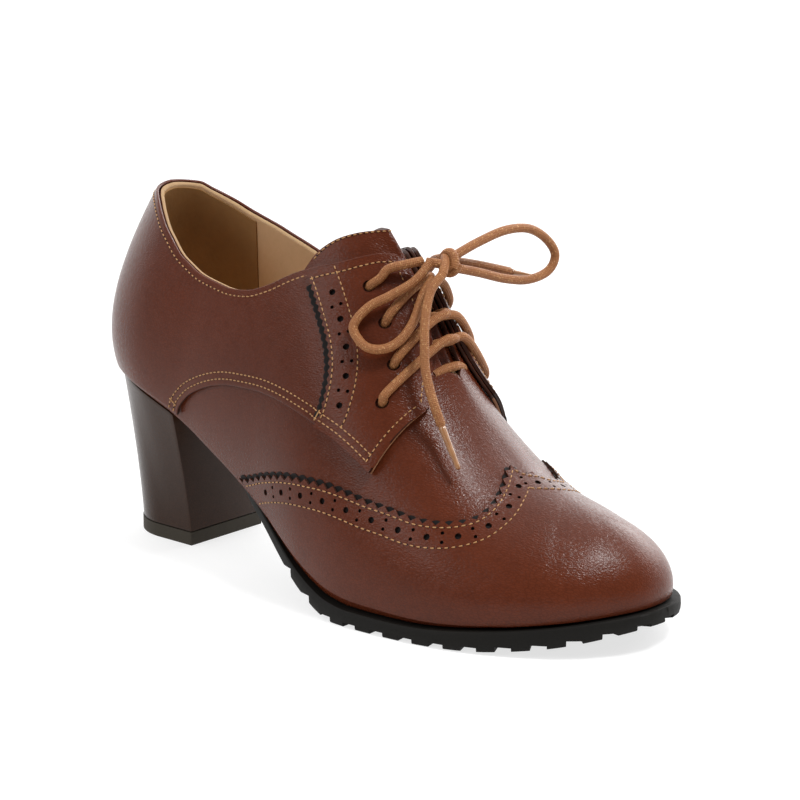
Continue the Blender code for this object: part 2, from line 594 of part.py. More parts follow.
tube("aglet_inner", np.array(AGLET_INNER) * MM, LACE * 0.8, TAG)
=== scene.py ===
# %% [markdown]
# # A block heel derby for the right foot
# The shoe stands empty on its heel and forefoot. Its shape comes from one last: a loop of stations
# round the foot with a crowned wall between the sole edge and the ridge. Every panel, seam, hole and
# stitch is placed on that surface by two numbers, the place round the loop and the share of the wall.

import bmesh
import bpy
import math
import numpy as np
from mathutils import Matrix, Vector
from mathutils.geometry import delaunay_2d_cdt
from mathutils.kdtree import KDTree


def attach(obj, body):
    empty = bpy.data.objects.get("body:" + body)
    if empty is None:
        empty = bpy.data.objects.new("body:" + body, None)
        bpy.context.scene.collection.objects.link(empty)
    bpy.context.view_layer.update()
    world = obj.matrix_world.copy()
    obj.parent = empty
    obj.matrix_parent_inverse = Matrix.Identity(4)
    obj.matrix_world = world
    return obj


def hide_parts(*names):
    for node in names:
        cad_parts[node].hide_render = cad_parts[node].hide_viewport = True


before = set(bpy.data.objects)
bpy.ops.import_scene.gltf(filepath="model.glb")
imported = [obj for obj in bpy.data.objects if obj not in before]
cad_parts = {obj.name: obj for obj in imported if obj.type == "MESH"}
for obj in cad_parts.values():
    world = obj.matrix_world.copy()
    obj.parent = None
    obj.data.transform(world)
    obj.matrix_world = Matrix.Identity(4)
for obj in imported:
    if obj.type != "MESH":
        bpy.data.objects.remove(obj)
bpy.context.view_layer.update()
MM = 0.001


def show(obj):
    bpy.context.scene.collection.objects.link(obj)


print("nodes", sorted(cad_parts))

# %% [markdown]
# ## Sizes of the last
# These are the named sizes of the solids, so that each finished piece lies where its plain solid does.
# Some follow the photograph more closely than the solids do. The lace is a little thinner, and the two sole
# lines, the toe, the throat, the tongue and the panel lines differ by a few millimetres.

# %% Sizes and tables
LENGTH = 236 * MM
BALL_WIDTH = 84 * MM
HEEL_SEAT = 60 * MM
INSTEP = 131 * MM
WALL = 1.5 * MM
GAP = 0.35 * MM
PANEL = 1.1 * MM
PANEL_GAP = 0.55 * MM
TONGUE_THICK = 2.0 * MM
INSOLE_THICK = 2.2 * MM
WELT = 3.0 * MM
BREAST = 52 * MM
HEEL_BACK = 15 * MM
HEEL_HALF = 17.4 * MM
LIFT_THICK = 4.7 * MM
LUG_PITCH = 11 * MM
LUG_CUT = 5.2 * MM
LUG_DEPTH = 1.5 * MM
LACE = 1.52 * MM
CENTRE_X = 121.2 * MM
CENTRE_Y = -1.7 * MM
HEM = 0.025
NEAR_RIDGE = 0.92
TOE_ONSET = 6.4
SHIFT = np.array([-CENTRE_X, -CENTRE_Y, 0.0])
# Height of the feather edge and of the underside: along (of LENGTH), height (of HEEL_SEAT)
SOLE_LINE = [
    (0.00, 1.045), (0.10, 0.975), (0.20, 0.858), (0.31, 0.655), (0.42, 0.435), (0.47, 0.325), (0.51, 0.240),
    (0.55, 0.165), (0.59, 0.115), (0.63, 0.097), (0.72, 0.093), (0.85, 0.134), (1.00, 0.228)]
UNDERSIDE = [
    (0.20, 0.805), (0.31, 0.602), (0.42, 0.368), (0.48, 0.225), (0.53, 0.105), (0.57, 0.030), (0.60, 0.000),
    (0.73, 0.000), (0.82, 0.010), (0.87, 0.030), (0.92, 0.062), (1.00, 0.145)]
MIDDLE = [(0.0, 0.0), (0.5, 0.0), (0.75, 0.018), (1.0, 0.048)]
# How far the inner shoulder of the vamp lies below a plain arch, in millimetres by place
INNER_DROP = [
    (0.0, 0.0), (4.8, 0.0), (5.5, 2.0), (6.0, 3.0), (7.0, 2.8), (7.6, 1.8), (8.2, 0.4), (8.7, 0.0),
    (10.0, 0.0)]
# Stations: feather along, half width outer and inner, ridge along, ridge height, crown, swell outer and inner
STATIONS = {
    "heel_back": (0.046, 0.000, 0.000, 0.203, 1.160, 45, 3.2, 3.2),
    "heel_corner": (0.067, 0.186, 0.186, 0.214, 1.160, 45, 3.2, 3.2),
    "heel_side": (0.142, 0.300, 0.298, 0.270, 1.160, 60, 2.8, 2.8),
    "shank": (0.265, 0.322, 0.278, 0.376, 1.145, 74, 2.5, 2.5),
    "waist": (0.400, 0.375, 0.270, 0.505, 1.000, 84, 2.5, 4.0),
    "joint_rear": (0.530, 0.475, 0.380, 0.608, 0.771, 88, 2.0, 3.0),
    "joint": (0.645, 0.505, 0.455, 0.670, 0.556, 90, 2.0, 2.0),
    "toe_side": (0.790, 0.450, 0.450, 0.762, 0.377, 90, 2.0, 2.0),
    "toe_corner": (0.905, 0.292, 0.345, 0.840, 0.314, 90, 2.0, 2.0),
    "toe_front": (0.967, 0.110, 0.210, 0.885, 0.288, 90, 1.2, 1.2),
    "toe_tip": (0.985, -0.050, 0.050, 0.900, 0.279, 90, 1.0, 1.0)}
TIP = len(STATIONS) - 1
LOOP = 2 * TIP
# Panel tables: places round the loop and shares of the wall
TOP_EDGE = [
    (0.00, 0.655, 0.655), (0.50, 0.652, 0.652), (1.00, 0.640, 0.644), (1.40, 0.612, 0.606),
    (1.80, 0.562, 0.560), (2.23, 0.492, 0.511), (2.60, 0.429, 0.481), (2.95, 0.404, 0.463),
    (3.28, 0.412, 0.459), (3.58, 0.442, 0.474), (3.80, 0.492, 0.510), (4.00, 0.562, 0.562),
    (4.23, 0.654, 0.654), (4.38, 0.729, 0.729), (4.48, 0.808, 0.808), (4.57, 0.900, 0.900),
    (4.65, 0.955, 0.955), (5.20, 0.945, 0.945), (5.60, 0.930, 0.930), (5.80, 0.930, 0.930),
    (5.92, 1.000, 1.000), (10.0, 1.000, 1.000)]
# Quarters, heel to front: place and share of the upper edge
QUARTER_TOP = [
    (0.00, 0.655), (0.35, 0.653), (0.70, 0.648), (1.05, 0.637), (1.40, 0.612), (1.80, 0.562), (2.23, 0.492),
    (2.60, 0.429), (2.95, 0.404), (3.28, 0.412), (3.58, 0.442), (3.80, 0.492), (4.00, 0.562), (4.23, 0.654),
    (4.38, 0.729), (4.48, 0.808), (4.57, 0.900), (4.66, 0.952), (5.05, 0.940), (5.45, 0.915), (5.78, 0.850),
    (6.05, 0.754)]
# Where the lower edge of the quarters runs on the heel seat: places, and the share of the wall there
SEAT_PLACES = [0.0, 0.35, 0.7, 1.05, 1.4, 1.8, 2.36, 2.77]
SEAT_SHARE = 0.02
EYESTAY = [
    (4.92, 0.385, 4.13, 0.606), (5.00, 0.390, 4.26, 0.664), (5.08, 0.395, 4.38, 0.724),
    (5.18, 0.400, 4.48, 0.800), (5.30, 0.404, 4.57, 0.888), (5.42, 0.408, 4.66, 0.944),
    (5.55, 0.412, 5.05, 0.934), (5.68, 0.415, 5.45, 0.908), (5.78, 0.417, 5.77, 0.842),
    (5.86, 0.418, 6.03, 0.752)]
TONGUE = [
    (6.35, 6.35, 0.900), (6.00, 6.00, 0.860), (5.60, 5.60, 0.820), (5.20, 5.20, 0.790), (4.85, 4.80, 0.750),
    (4.60, 4.46, 0.690), (4.46, 4.20, 0.630), (4.36, 4.05, 0.590)]
EYELETS = [(4.73, 0.775), (5.08, 0.758), (5.45, 0.713), (5.62, 0.604)]
FACING = PANEL_GAP + PANEL + GAP
TOP_OF_FACING = FACING + PANEL
print(len(STATIONS), "stations", len(TOP_EDGE), "points on the top edge")

# %% [markdown]
# ## The surface of the last
# A table is read with a monotone cubic, so a line never overshoots its named points. The loop of
# stations is a closed cubic spline, and a wall rises from the feather edge to the ridge on an arc.

# %% Surface functions


def curve(table, x, column=1):
    """Monotone cubic through one column of a table."""
    data = np.array(table, float)
    xs = data[:, 0]
    ys = data[:, column]
    step = np.diff(xs)
    slope = np.diff(ys) / step
    tangent = np.zeros(len(xs))
    same = slope[:-1] * slope[1:] > 0
    total = np.where(same, slope[:-1] + slope[1:], 1.0)
    tangent[1:-1] = np.where(same, 2 * slope[:-1] * slope[1:] / total, 0.0)
    tangent[0] = slope[0]
    tangent[-1] = slope[-1]
    x = np.clip(np.asarray(x, float), xs[0], xs[-1])
    i = np.clip(np.searchsorted(xs, x) - 1, 0, len(xs) - 2)
    s = (x - xs[i]) / step[i]
    value = ys[i] * (1 + 2 * s) * (1 - s) ** 2 + ys[i + 1] * s * s * (3 - 2 * s)
    return value + step[i] * (tangent[i] * s * (1 - s) ** 2 - tangent[i + 1] * s * s * (1 - s))


def along_rows(table, count):
    """Even samples along a table read by row number, all columns."""
    data = np.array(table, float)
    places = np.linspace(0, len(data) - 1, count)
    stacked = np.column_stack([np.arange(len(data)), data])
    return np.column_stack([curve(stacked, places, k + 1) for k in range(data.shape[1])])


def unit(vectors):
    """Vectors scaled to length 1."""
    return vectors / np.maximum(np.linalg.norm(vectors, axis=-1, keepdims=True), 1e-15)


def sole_height(x):
    return curve(SOLE_LINE, x / LENGTH) * HEEL_SEAT


def underside(x):
    return curve(UNDERSIDE, x / LENGTH) * HEEL_SEAT


def station_loop():
    """Stations up the outer side to the toe tip and back down the inner side."""
    rows = list(STATIONS.values())
    outer = [(al, -half, ra, rh, cr, sw) for al, half, _, ra, rh, cr, sw, _ in rows]
    inner = [(al, half, ra, rh, cr, sw) for al, _, half, ra, rh, cr, _, sw in rows[-2:0:-1]]
    return np.array(outer + inner) * (LENGTH, BALL_WIDTH, LENGTH, INSTEP, math.pi / 180, MM)


RING = station_loop()


def cubic(a, b, c, d, s):
    """Cubic from b to c, with slopes from the neighbours a and d."""
    return 0.5 * (
        2 * b + (c - a) * s + (2 * a - 5 * b + 4 * c - d) * s ** 2 + (3 * b - a - 3 * c + d) * s ** 3)


def around(loop):
    """Station values at any place round the loop, as a closed cubic spline."""
    loop = np.asarray(loop, float) % LOOP
    i = np.floor(loop).astype(int)
    s = (loop - i)[..., None]
    return cubic(*(RING[(i + k) % LOOP] for k in (-1, 0, 1, 2)), s)


def outline_normal(loop):
    """Outward direction of the feather edge in plan."""
    step = unit((around(loop + 0.02) - around(loop - 0.02))[..., :2])
    return np.stack([step[..., 1], -step[..., 0]], -1)


def ridge_fall(loop):
    """Slope of the ridge on the toe, fading to nothing behind the ball."""
    place = np.minimum(loop % LOOP, LOOP - loop % LOOP)
    ahead = np.minimum(place, TIP - 0.1)
    step = around(ahead + 0.02) - around(ahead - 0.02)
    onset = np.clip(place - TOE_ONSET, 0, 1)
    return step[..., 3] / np.where(onset > 0, step[..., 2], 1.0) * onset ** 2 * (3 - 2 * onset)


# Brings the peak of the bulge's curve to 1
BULGE_PEAK = 12.2


def bare_wall(loop, share):
    """A point of the last; on the toe the wall leaves the ridge along the ridge's own fall."""
    foot_x, foot_y, ridge_x, ridge_z, crown, swell = np.moveaxis(around(loop), -1, 0)
    foot_z = sole_height(foot_x)
    ridge_y = curve(MIDDLE, ridge_x / LENGTH) * BALL_WIDTH
    plan = (1 - np.cos(share * crown)) / (1 - np.cos(crown))
    rise = np.sin(share * crown) / np.sin(crown)
    bulge = swell * BULGE_PEAK * share * np.clip(1 - share, 0, None) ** 4
    out = outline_normal(loop)
    x = foot_x + (ridge_x - foot_x) * plan
    y = foot_y + (ridge_y - foot_y) * plan
    z = foot_z + (ridge_z - foot_z) * rise + ridge_fall(loop) * (x - ridge_x) * share ** 2
    inner = np.asarray(loop, float) % LOOP
    drop = np.where(inner > TIP, curve(INNER_DROP, LOOP - inner), 0.0) * (4 * share * (1 - share)) ** 2
    z = z - drop * MM
    return np.stack([x + out[..., 0] * bulge, y + out[..., 1] * bulge, z], -1)


def slopes(loop, share):
    """How a point of the last moves with the place and with the share."""
    step = 0.01
    low = np.maximum(share - step, 0)
    high = np.minimum(share + step, 1)
    by_place = (bare_wall(loop + step, share) - bare_wall(loop - step, share)) / (2 * step)
    by_share = (bare_wall(loop, high) - bare_wall(loop, low)) / (high - low)[..., None]
    return by_place, by_share


def face_normal(loop, share):
    return unit(np.cross(*slopes(loop, share)))


def last_normal(loop, share):
    """Outward direction; near the ridge the two sides share it, so a lifted panel has no fold there."""
    own = face_normal(loop, np.minimum(share, NEAR_RIDGE))
    other = face_normal(LOOP - loop, np.full_like(share, NEAR_RIDGE))
    part = 0.5 + 0.5 * np.clip((1 - share) / (1 - NEAR_RIDGE), 0, 1)[..., None]
    return unit(own * part + other * (1 - part))


def wall(loop, share, lift=0.0):
    """A point of the last in the frame's axes, lifted off it along its normal."""
    loop, share = np.broadcast_arrays(np.asarray(loop, float), np.asarray(share, float))
    lift = np.asarray(lift, float)
    return bare_wall(loop, share) + last_normal(loop, share) * lift[..., None] + SHIFT


def inner_loop(place):
    return LOOP - np.asarray(place, float)


def on_side(place, side):
    """Loop number of a place on the outer (-1) or the inner (+1) side."""
    return np.asarray(place, float) if side < 0 else inner_loop(place)


def on_last(place, lean, lift=0.0):
    """A point by place and lean: lean is 0 on the ridge, -1 and +1 at the outer and inner feather edge."""
    place, lean, lift = np.broadcast_arrays(place, lean, lift)
    return wall(np.where(lean < 0, place, inner_loop(place)), np.clip(1 - np.abs(lean), 0, 1), lift)


print("ball girth height", float(wall(6.0, 1.0)[2]))

# %% [markdown]
# ## Camera
# The photograph looks down a little on the outer side of the toe. The camera keeps that angle with a
# long lens, which holds the heel and the toe at nearly the same size, as a product picture does.

# %% Camera
AZIMUTH = math.radians(41)
ELEVATION = math.radians(14.3)
LENS = 114.4
SENSOR = 36
CAMERA_FAR = 0.85
TARGET = Vector(np.array((124, 9, 60)) * MM + SHIFT)
aim = Vector((
    math.sin(AZIMUTH) * math.cos(ELEVATION), -math.cos(AZIMUTH) * math.cos(ELEVATION), math.sin(ELEVATION)))
camera_data = bpy.data.cameras.new("photo_camera")
camera_data.lens = LENS
camera_data.sensor_width = SENSOR
camera = bpy.data.objects.new("photo_camera", camera_data)
camera.location = TARGET + aim * CAMERA_FAR
camera.rotation_euler = aim.to_track_quat("Z", "Y").to_euler()
show(camera)
bpy.context.scene.camera = camera
print("camera at", tuple(round(c, 3) for c in camera.location))

# %% [markdown]
# ## Panel lines from the photograph
# Three lines are read off the picture as a few pixels: the outer edge of the wing, the flap and the rear of
# the eyestay. A pixel is carried on to the last by Newton's rule: two short steps on the surface show how its
# picture moves, and the miss is solved with them. The inner edge of the wing goes on from there as a listed
# table.

# %% Panel lines
PICTURE = 800
HEM_LEAN = 0.978
WING_LIFT = 0.30 * MM
WING_THICK = 0.85 * MM
WING_PIXELS = [
    (238.5, 481.5), (245, 479), (263, 475.5), (278, 475), (295, 477), (314, 481), (332, 486), (351, 493),
    (371, 501), (392, 508), (413, 516), (435, 520), (458, 519.5), (479, 513), (493, 500), (501, 485),
    (504, 475), (507.5, 465.5)]
FLAP_PIXELS = [
    (178, 408), (186, 397), (203, 388), (222, 385), (242, 388), (265, 394.5), (281, 402.5), (294, 410.5),
    (307, 419), (320, 428), (337, 441), (351, 454), (361, 464.5), (370.5, 474)]
STAY_PIXELS = [(312, 425), (321, 406), (327, 385), (330, 365), (328, 341), (320, 314), (312, 291), (305, 273)]
# Wing edge on the inner side, from the peak to the shank: place, lean
WING_INNER = [
    (7.00, -0.04), (7.15, 0.00), (7.20, 0.06), (7.25, 0.12), (7.20, 0.18), (7.15, 0.23), (7.00, 0.29),
    (6.75, 0.36), (6.60, 0.42), (6.40, 0.51), (6.20, 0.60), (5.95, 0.655), (5.70, 0.69), (5.40, 0.72),
    (5.05, 0.76), (4.75, 0.81), (4.40, 0.88), (3.90, 0.97), (3.80, HEM_LEAN)]


def in_picture(points):
    """Pixels at which the camera sees points of the frame."""
    right, up, back = np.array(camera.rotation_euler.to_matrix()).T
    away = points - np.array(camera.location)
    scale = PICTURE * LENS / SENSOR / -(away @ back)
    return np.stack([PICTURE / 2 + scale * (away @ right), PICTURE / 2 - scale * (away @ up)], -1)


def from_picture(pixels, start, end, lift, step=0.004, rounds=12, most=(0.4, 0.1)):
    """Places and leans that the camera sees at some pixels, with a guess at the two ends of the line."""
    place, lean = np.linspace(start, end, len(pixels)).T
    for _ in range(rounds):
        here = in_picture(on_last(place, lean, lift))
        a = (in_picture(on_last(place + step, lean, lift)) - here).T / step
        b = (in_picture(on_last(place, lean + step, lift)) - here).T / step
        miss = (np.array(pixels) - here).T
        det = a[0] * b[1] - a[1] * b[0]
        place = place + np.clip((miss[0] * b[1] - miss[1] * b[0]) / det, -most[0], most[0])
        lean = lean + np.clip((a[0] * miss[1] - a[1] * miss[0]) / det, -most[1], most[1])
        lean = np.maximum(lean, -HEM_LEAN)
    return np.column_stack([place, lean])


wing_outer = from_picture(WING_PIXELS, (3.8, -0.97), (6.95, -0.07), WING_LIFT + WING_THICK)
WING_EDGE = np.concatenate([wing_outer, WING_INNER])
flap = from_picture(FLAP_PIXELS, (2.8, -0.95), (5.9, -0.58), PANEL_GAP + PANEL) + (0, 1)
seat_rows = np.column_stack([SEAT_PLACES, np.full(len(SEAT_PLACES), SEAT_SHARE)])
QUARTER = np.column_stack([np.concatenate([seat_rows, flap]), QUARTER_TOP])
EYESTAY_REAR = from_picture(STAY_PIXELS, (5.0, -0.63), (4.2, -0.39), TOP_OF_FACING) + (0, 1)
print("wing edge", wing_outer.round(2).tolist())
print("flap edge", flap.round(2).tolist())

# %% [markdown]
# ## A small kit for materials
# A material is a tree of nodes. Here a signal stands for one socket, and sums and products on it add
# the Math nodes, so a finish reads like a formula. Every other node comes from one method.

# %% Material kit


class Signal:
    """A socket of a finish; arithmetic on it adds Math nodes."""

    def __init__(self, finish, socket):
        self.finish = finish
        self.socket = socket

    def work(self, operation, first, second):
        return self.finish.node("ShaderNodeMath", {"operation": operation}, {0: first, 1: second})

    def __add__(self, other):
        return self.work("ADD", self, other)

    def __radd__(self, other):
        return self.work("ADD", other, self)

    def __sub__(self, other):
        return self.work("SUBTRACT", self, other)

    def __rsub__(self, other):
        return self.work("SUBTRACT", other, self)

    def __mul__(self, other):
        return self.work("MULTIPLY", self, other)

    def __rmul__(self, other):
        return self.work("MULTIPLY", other, self)

    def below(self, level, soft):
        """1 where the signal is under a level, 0 where it is over it by a soft step."""
        ends = {"From Min": level, "From Max": level + soft, "To Min": 1.0, "To Max": 0.0}
        return self.finish.node("ShaderNodeMapRange", {"clamp": True}, {"Value": self, **ends})


class Finish:
    """One material: its tree, its shader and the nodes that feed it."""

    def __init__(self, name, **constants):
        self.material = bpy.data.materials.new(name)
        self.material.use_nodes = True
        self.tree = self.material.node_tree
        self.shader = self.tree.nodes["Principled BSDF"]
        for key, value in constants.items():
            self.shader.inputs[key.replace("_", " ").title()].default_value = value
        self.spot = self.node("ShaderNodeTexCoord", {}, {}, "Object")

    def feed(self, socket, value):
        if isinstance(value, Signal):
            self.tree.links.new(value.socket, socket)
        else:
            socket.default_value = value

    def node(self, kind, settings, links, out=0):
        made = self.tree.nodes.new(kind)
        for key, value in settings.items():
            if key == "stops":
                ramp = made.color_ramp.elements
                while len(ramp) < len(value):
                    ramp.new(0.5)
                for stop, (place, colour) in zip(ramp, value):
                    stop.position = place
                    stop.color = colour
            else:
                setattr(made, key, value)
        for key, value in links.items():
            self.feed(made.inputs[key], value)
        return Signal(self, made.outputs[out])

    def noise(self, scale, detail=3.0, rough=0.55, where=None):
        links = {"Vector": where or self.spot, "Scale": scale, "Detail": detail, "Roughness": rough}
        return self.node("ShaderNodeTexNoise", {}, links)

    def cells(self, scale, where=None, feature="F1"):
        links = {"Vector": where or self.spot, "Scale": scale}
        return self.node("ShaderNodeTexVoronoi", {"feature": feature}, links)

    def stretched(self, turn, scale):
        """Object coordinates turned and stretched, for grain with a direction."""
        links = {"Vector": self.spot, "Rotation": turn, "Scale": scale}
        return self.node("ShaderNodeMapping", {"vector_type": "TEXTURE"}, links)

    def mix(self, factor, first, second):
        return self.node("ShaderNodeMix", {"data_type": "RGBA"}, {0: factor, 6: first, 7: second}, 2)

    def set(self, socket, value):
        self.feed(self.shader.inputs[socket], value)

    def bump(self, height, depth, strength=1.0):
        self.set("Normal", self.node(
            "ShaderNodeBump", {}, {"Height": height, "Distance": depth, "Strength": strength}))


def rgb(red, green, blue):
    """A linear colour from the usual 0 to 255 numbers."""
    part = [c / 255 for c in (red, green, blue)]
    return tuple(c / 12.92 if c <= 0.04045 else ((c + 0.055) / 1.055) ** 2.4 for c in part) + (1.0,)


print("kit ready", rgb(104, 58, 42))

# %% [markdown]
# ## Leather
# The upper is smooth calf in a warm brown. Close up it has fine pores and a net of short folds, and
# its dye drifts a little. The grain is bump, so it costs no triangles, and a thin coat gives the wax.

# %% Leather finishes


def leather(name, tone, grain=1.0, shine=0.15):
    skin = Finish(name, coat_roughness=0.15)
    skin.set("Specular IOR Level", shine)
    drift = skin.noise(16.0, 4.0)
    mottle = skin.noise(210.0, 4.0, 0.65)
    dark = tuple(c * 0.5 for c in tone[:3]) + (1.0,)
    light = tuple(c * 1.55 for c in tone[:3]) + (1.0,)
    pores = skin.cells(2600.0)
    folds = skin.cells(1150.0, skin.stretched((0.3, 0.2, 0.5), (2.1, 0.8, 1.0)), "DISTANCE_TO_EDGE")
    wash = skin.noise(900.0, 4.0, 0.6)
    colour = skin.mix(drift * 0.65 + mottle * 0.35, dark, light)
    # The base colour darkens along the fold lines, the low parts of the bump: painted shade in the creases.
    skin.set("Base Color", skin.mix(folds.below(0.02, 0.12) * 0.35, colour, dark))
    skin.bump(pores * 0.3 + folds * 1.1 + wash * 0.9, 0.0002 * grain, 0.6)
    skin.set("Roughness", 0.16 + mottle * 0.1)
    skin.set("Coat Weight", 0.02 + drift * 0.04)
    return skin.material


BROWN = rgb(83, 37, 20)
LEATHER = leather("brown_leather", BROWN)
HEEL_SKIN = leather("heel_leather", rgb(50, 31, 20), 0.4, 0.12)
print("leathers", LEATHER.name, HEEL_SKIN.name)

# %% [markdown]
# ## The other finishes
# The cut edges show paler hide, the lining is undyed hide, the underlay behind the punched holes is
# black, partly as painted shade in the holes, and the sole is matt rubber. The cord is braided, so its bump
# follows the cord's own UV map.

# %% Edge, lining, underlay, rubber, cord, aglet and thread


def plain_hide(name, light, dark, rough, scale=420.0, depth=0.00015):
    hide = Finish(name)
    hide.set("Specular IOR Level", 0.15)
    blotch = hide.noise(38.0, 3.0)
    speck = hide.noise(scale, 4.0, 0.6)
    hide.set("Base Color", hide.mix(blotch * 0.6 + speck * 0.4, dark, light))
    hide.set("Roughness", rough + speck * 0.15)
    hide.bump(speck + hide.cells(scale * 2.2) * 0.5, depth, 0.6)
    return hide.material


EDGE = plain_hide("cut_edge", rgb(176, 128, 92), rgb(122, 78, 54), 0.6)
# Dark edge: partly a dyed edge, partly a painted shade line on rims that sit in shadow.
DYED_EDGE_AND_SHADE = plain_hide("dyed_edge_and_shade_line", rgb(70, 38, 26), rgb(40, 24, 18), 0.5)
CREAM = plain_hide("lining_edge", rgb(176, 146, 108), rgb(140, 110, 78), 0.6)
LINING = plain_hide("lining_hide", rgb(222, 188, 150), rgb(190, 156, 118), 0.6)
# The heel lining is a darker copy of the lining: partly its own tone, partly painted shade inside the heel.
SHADED_HEEL_LINING = plain_hide("heel_lining_hide_and_painted_shade", rgb(160, 122, 80), rgb(130, 98, 60), 0.7)
# The black underlay is partly a real layer and partly painted shade in the punched holes and the notches.
UNDERLAY_AND_SHADE = plain_hide("black_underlay_and_painted_shade", rgb(30, 24, 22), rgb(16, 14, 13), 0.6)
RUBBER = plain_hide("matt_rubber", rgb(26, 24, 21), rgb(17, 16, 14), 0.55, 300.0, 0.00012)
LIFT_RUBBER = plain_hide("lift_rubber", rgb(64, 58, 49), rgb(48, 43, 36), 0.55, 300.0, 0.00012)


CARRIERS = 7.0
SLANT = 2.6


def braided(name):
    cord = Finish(name)
    lay = cord.node("ShaderNodeUVMap", {"uv_map": "lay"}, {})
    parts = cord.node("ShaderNodeSeparateXYZ", {}, {0: lay})
    round_it = Signal(cord, parts.socket.node.outputs[0])
    along = Signal(cord, parts.socket.node.outputs[1])
    turns = (round_it * CARRIERS + along * SLANT, round_it * CARRIERS - along * SLANT)
    left, right = (cord.node("ShaderNodeMath", {"operation": "SINE"}, {0: t * math.tau}) for t in turns)
    weave = left * right * 0.5 + 0.5
    fuzz = cord.noise(1500.0, 3.0)
    shade = cord.noise(160.0, 3.0)
    cord.set("Specular IOR Level", 0.25)
    colour = cord.mix(shade, rgb(136, 84, 48), rgb(176, 120, 74))
    # The braid's low parts, where the bump sinks between the strands, are darker: painted shade in the
    # grooves.
    colour = cord.mix(weave * 0.55, cord.mix(0.55, rgb(104, 58, 30), colour), colour)
    cord.set("Base Color", cord.mix((fuzz - 0.56) * 4.0, colour, rgb(214, 168, 116)))
    cord.set("Roughness", 0.46 + fuzz * 0.2)
    cord.bump(weave + fuzz * 0.4, 0.00022, 0.8)
    return cord.material


CORD = braided("waxed_cord")
tip = Finish("aglet_film", coat_weight=0.5, coat_roughness=0.06)
tip.set("Base Color", tip.mix(tip.noise(240.0, 3.0), rgb(112, 70, 38), rgb(176, 126, 80)))
tip.set("Roughness", 0.18 + tip.noise(120.0, 2.0) * 0.14)
tip.bump(tip.noise(500.0, 3.0), 0.0001, 0.4)
AGLET = tip.material
yarn = Finish("thread")
twist = yarn.noise(2600.0, 2.0)
yarn.set("Base Color", yarn.mix(twist, rgb(148, 104, 62), rgb(192, 146, 92)))
yarn.set("Roughness", 0.5 + twist * 0.2)
yarn.bump(twist, 0.00008, 0.6)
THREAD = yarn.material
print("materials", len(bpy.data.materials))

# %% [markdown]
# ## Helpers for meshes
# A piece is a grid of points on the last, given a thickness with Solidify and a soft edge with Bevel.
# The modifiers are turned into plain mesh at once.

# %% Mesh helpers


def plain_object(name, points, faces, mats, smooth_angle=40.0):
    mesh = bpy.data.meshes.new(name)
    mesh.from_pydata([tuple(p) for p in np.asarray(points)], [], [tuple(int(i) for i in f) for f in faces])
    for mat in mats:
        mesh.materials.append(mat)
    obj = bpy.data.objects.new(name, mesh)
    show(obj)
    soften(obj, smooth_angle)
    return obj


def soften(obj, angle):
    obj.data.shade_smooth()
    obj.data.set_sharp_from_angle(angle=math.radians(angle))


def merge(obj, distance=0.00002):
    bm = bmesh.new()
    bm.from_mesh(obj.data)
    bmesh.ops.remove_doubles(bm, verts=bm.verts, dist=distance)
    bmesh.ops.dissolve_degenerate(bm, edges=bm.edges, dist=distance / 4)
    bmesh.ops.recalc_face_normals(bm, faces=bm.faces)
    bm.to_mesh(obj.data)
    bm.free()


def bake(obj):
    """Turn the modifiers of an object into its plain mesh."""
    graph = bpy.context.evaluated_depsgraph_get()
    mesh = bpy.data.meshes.new_from_object(obj.evaluated_get(graph))
    obj.modifiers.clear()
    obj.data = mesh


def tree_of(points):
    """A tree that finds the nearest of some points."""
    tree = KDTree(len(points))
    for i, point in enumerate(points):
        tree.insert(point, i)
    tree.balance()
    return tree


def round_edges(obj, width, segments):
    bevel = obj.modifiers.new("edge", "BEVEL")
    bevel.width = width
    bevel.segments = segments
    bevel.limit_method = "ANGLE"
    bevel.angle_limit = math.radians(50)


def thicken(obj, thick, side, edge=0.0, rim_slot=0, back_slot=0):
    """Give an open sheet a wall on its outer (+1) or inner (-1) side, with a rounded edge."""
    solid = obj.modifiers.new("wall", "SOLIDIFY")
    solid.thickness = thick
    solid.offset = side
    solid.use_even_offset = False
    solid.material_offset_rim = rim_slot
    solid.material_offset = back_slot
    if edge > 0:
        round_edges(obj, edge, 2)
    bake(obj)
    soften(obj, 55)


def turn_out(obj, centre):
    """Face an open sheet away from a point inside it."""
    centre = Vector(centre)
    vote = sum((p.center - centre).dot(p.normal) * p.area for p in obj.data.polygons)
    if vote < 0:
        obj.data.flip_normals()


def grid_faces(rows, columns, closed=False):
    faces = []
    for i in range(rows if closed else rows - 1):
        j = (i + 1) % rows
        for k in range(columns - 1):
            faces.append((i * columns + k, j * columns + k, j * columns + k + 1, i * columns + k + 1))
    return faces


def ring_faces(rings, count):
    """Quads between closed rings that follow each other."""
    faces = []
    for i in range(rings - 1):
        for k in range(count):
            n = (k + 1) % count
            faces.append((i * count + k, i * count + n, (i + 1) * count + n, (i + 1) * count + k))
    return faces


def sheet_piece(name, grid, thick, side, mats, closed=False, edge=0.0, rim_slot=0, back_slot=0):
    rows, columns = grid.shape[:2]
    obj = plain_object(name, grid.reshape(-1, 3), grid_faces(rows, columns, closed), mats)
    merge(obj)
    turn_out(obj, grid.reshape(-1, 3).mean(0))
    thicken(obj, thick, side, edge, rim_slot, back_slot)
    return obj


def put(obj, slot_name, *nodes):
    """Tie a finished piece to the body and hide the plain solids it stands for; slot_name is not used."""
    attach(obj, "root")
    if nodes:
        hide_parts(*nodes)
    print(obj.name, len(obj.data.polygons), "faces")


print("a grid of 3 by 4 points has", len(grid_faces(3, 4)), "faces")
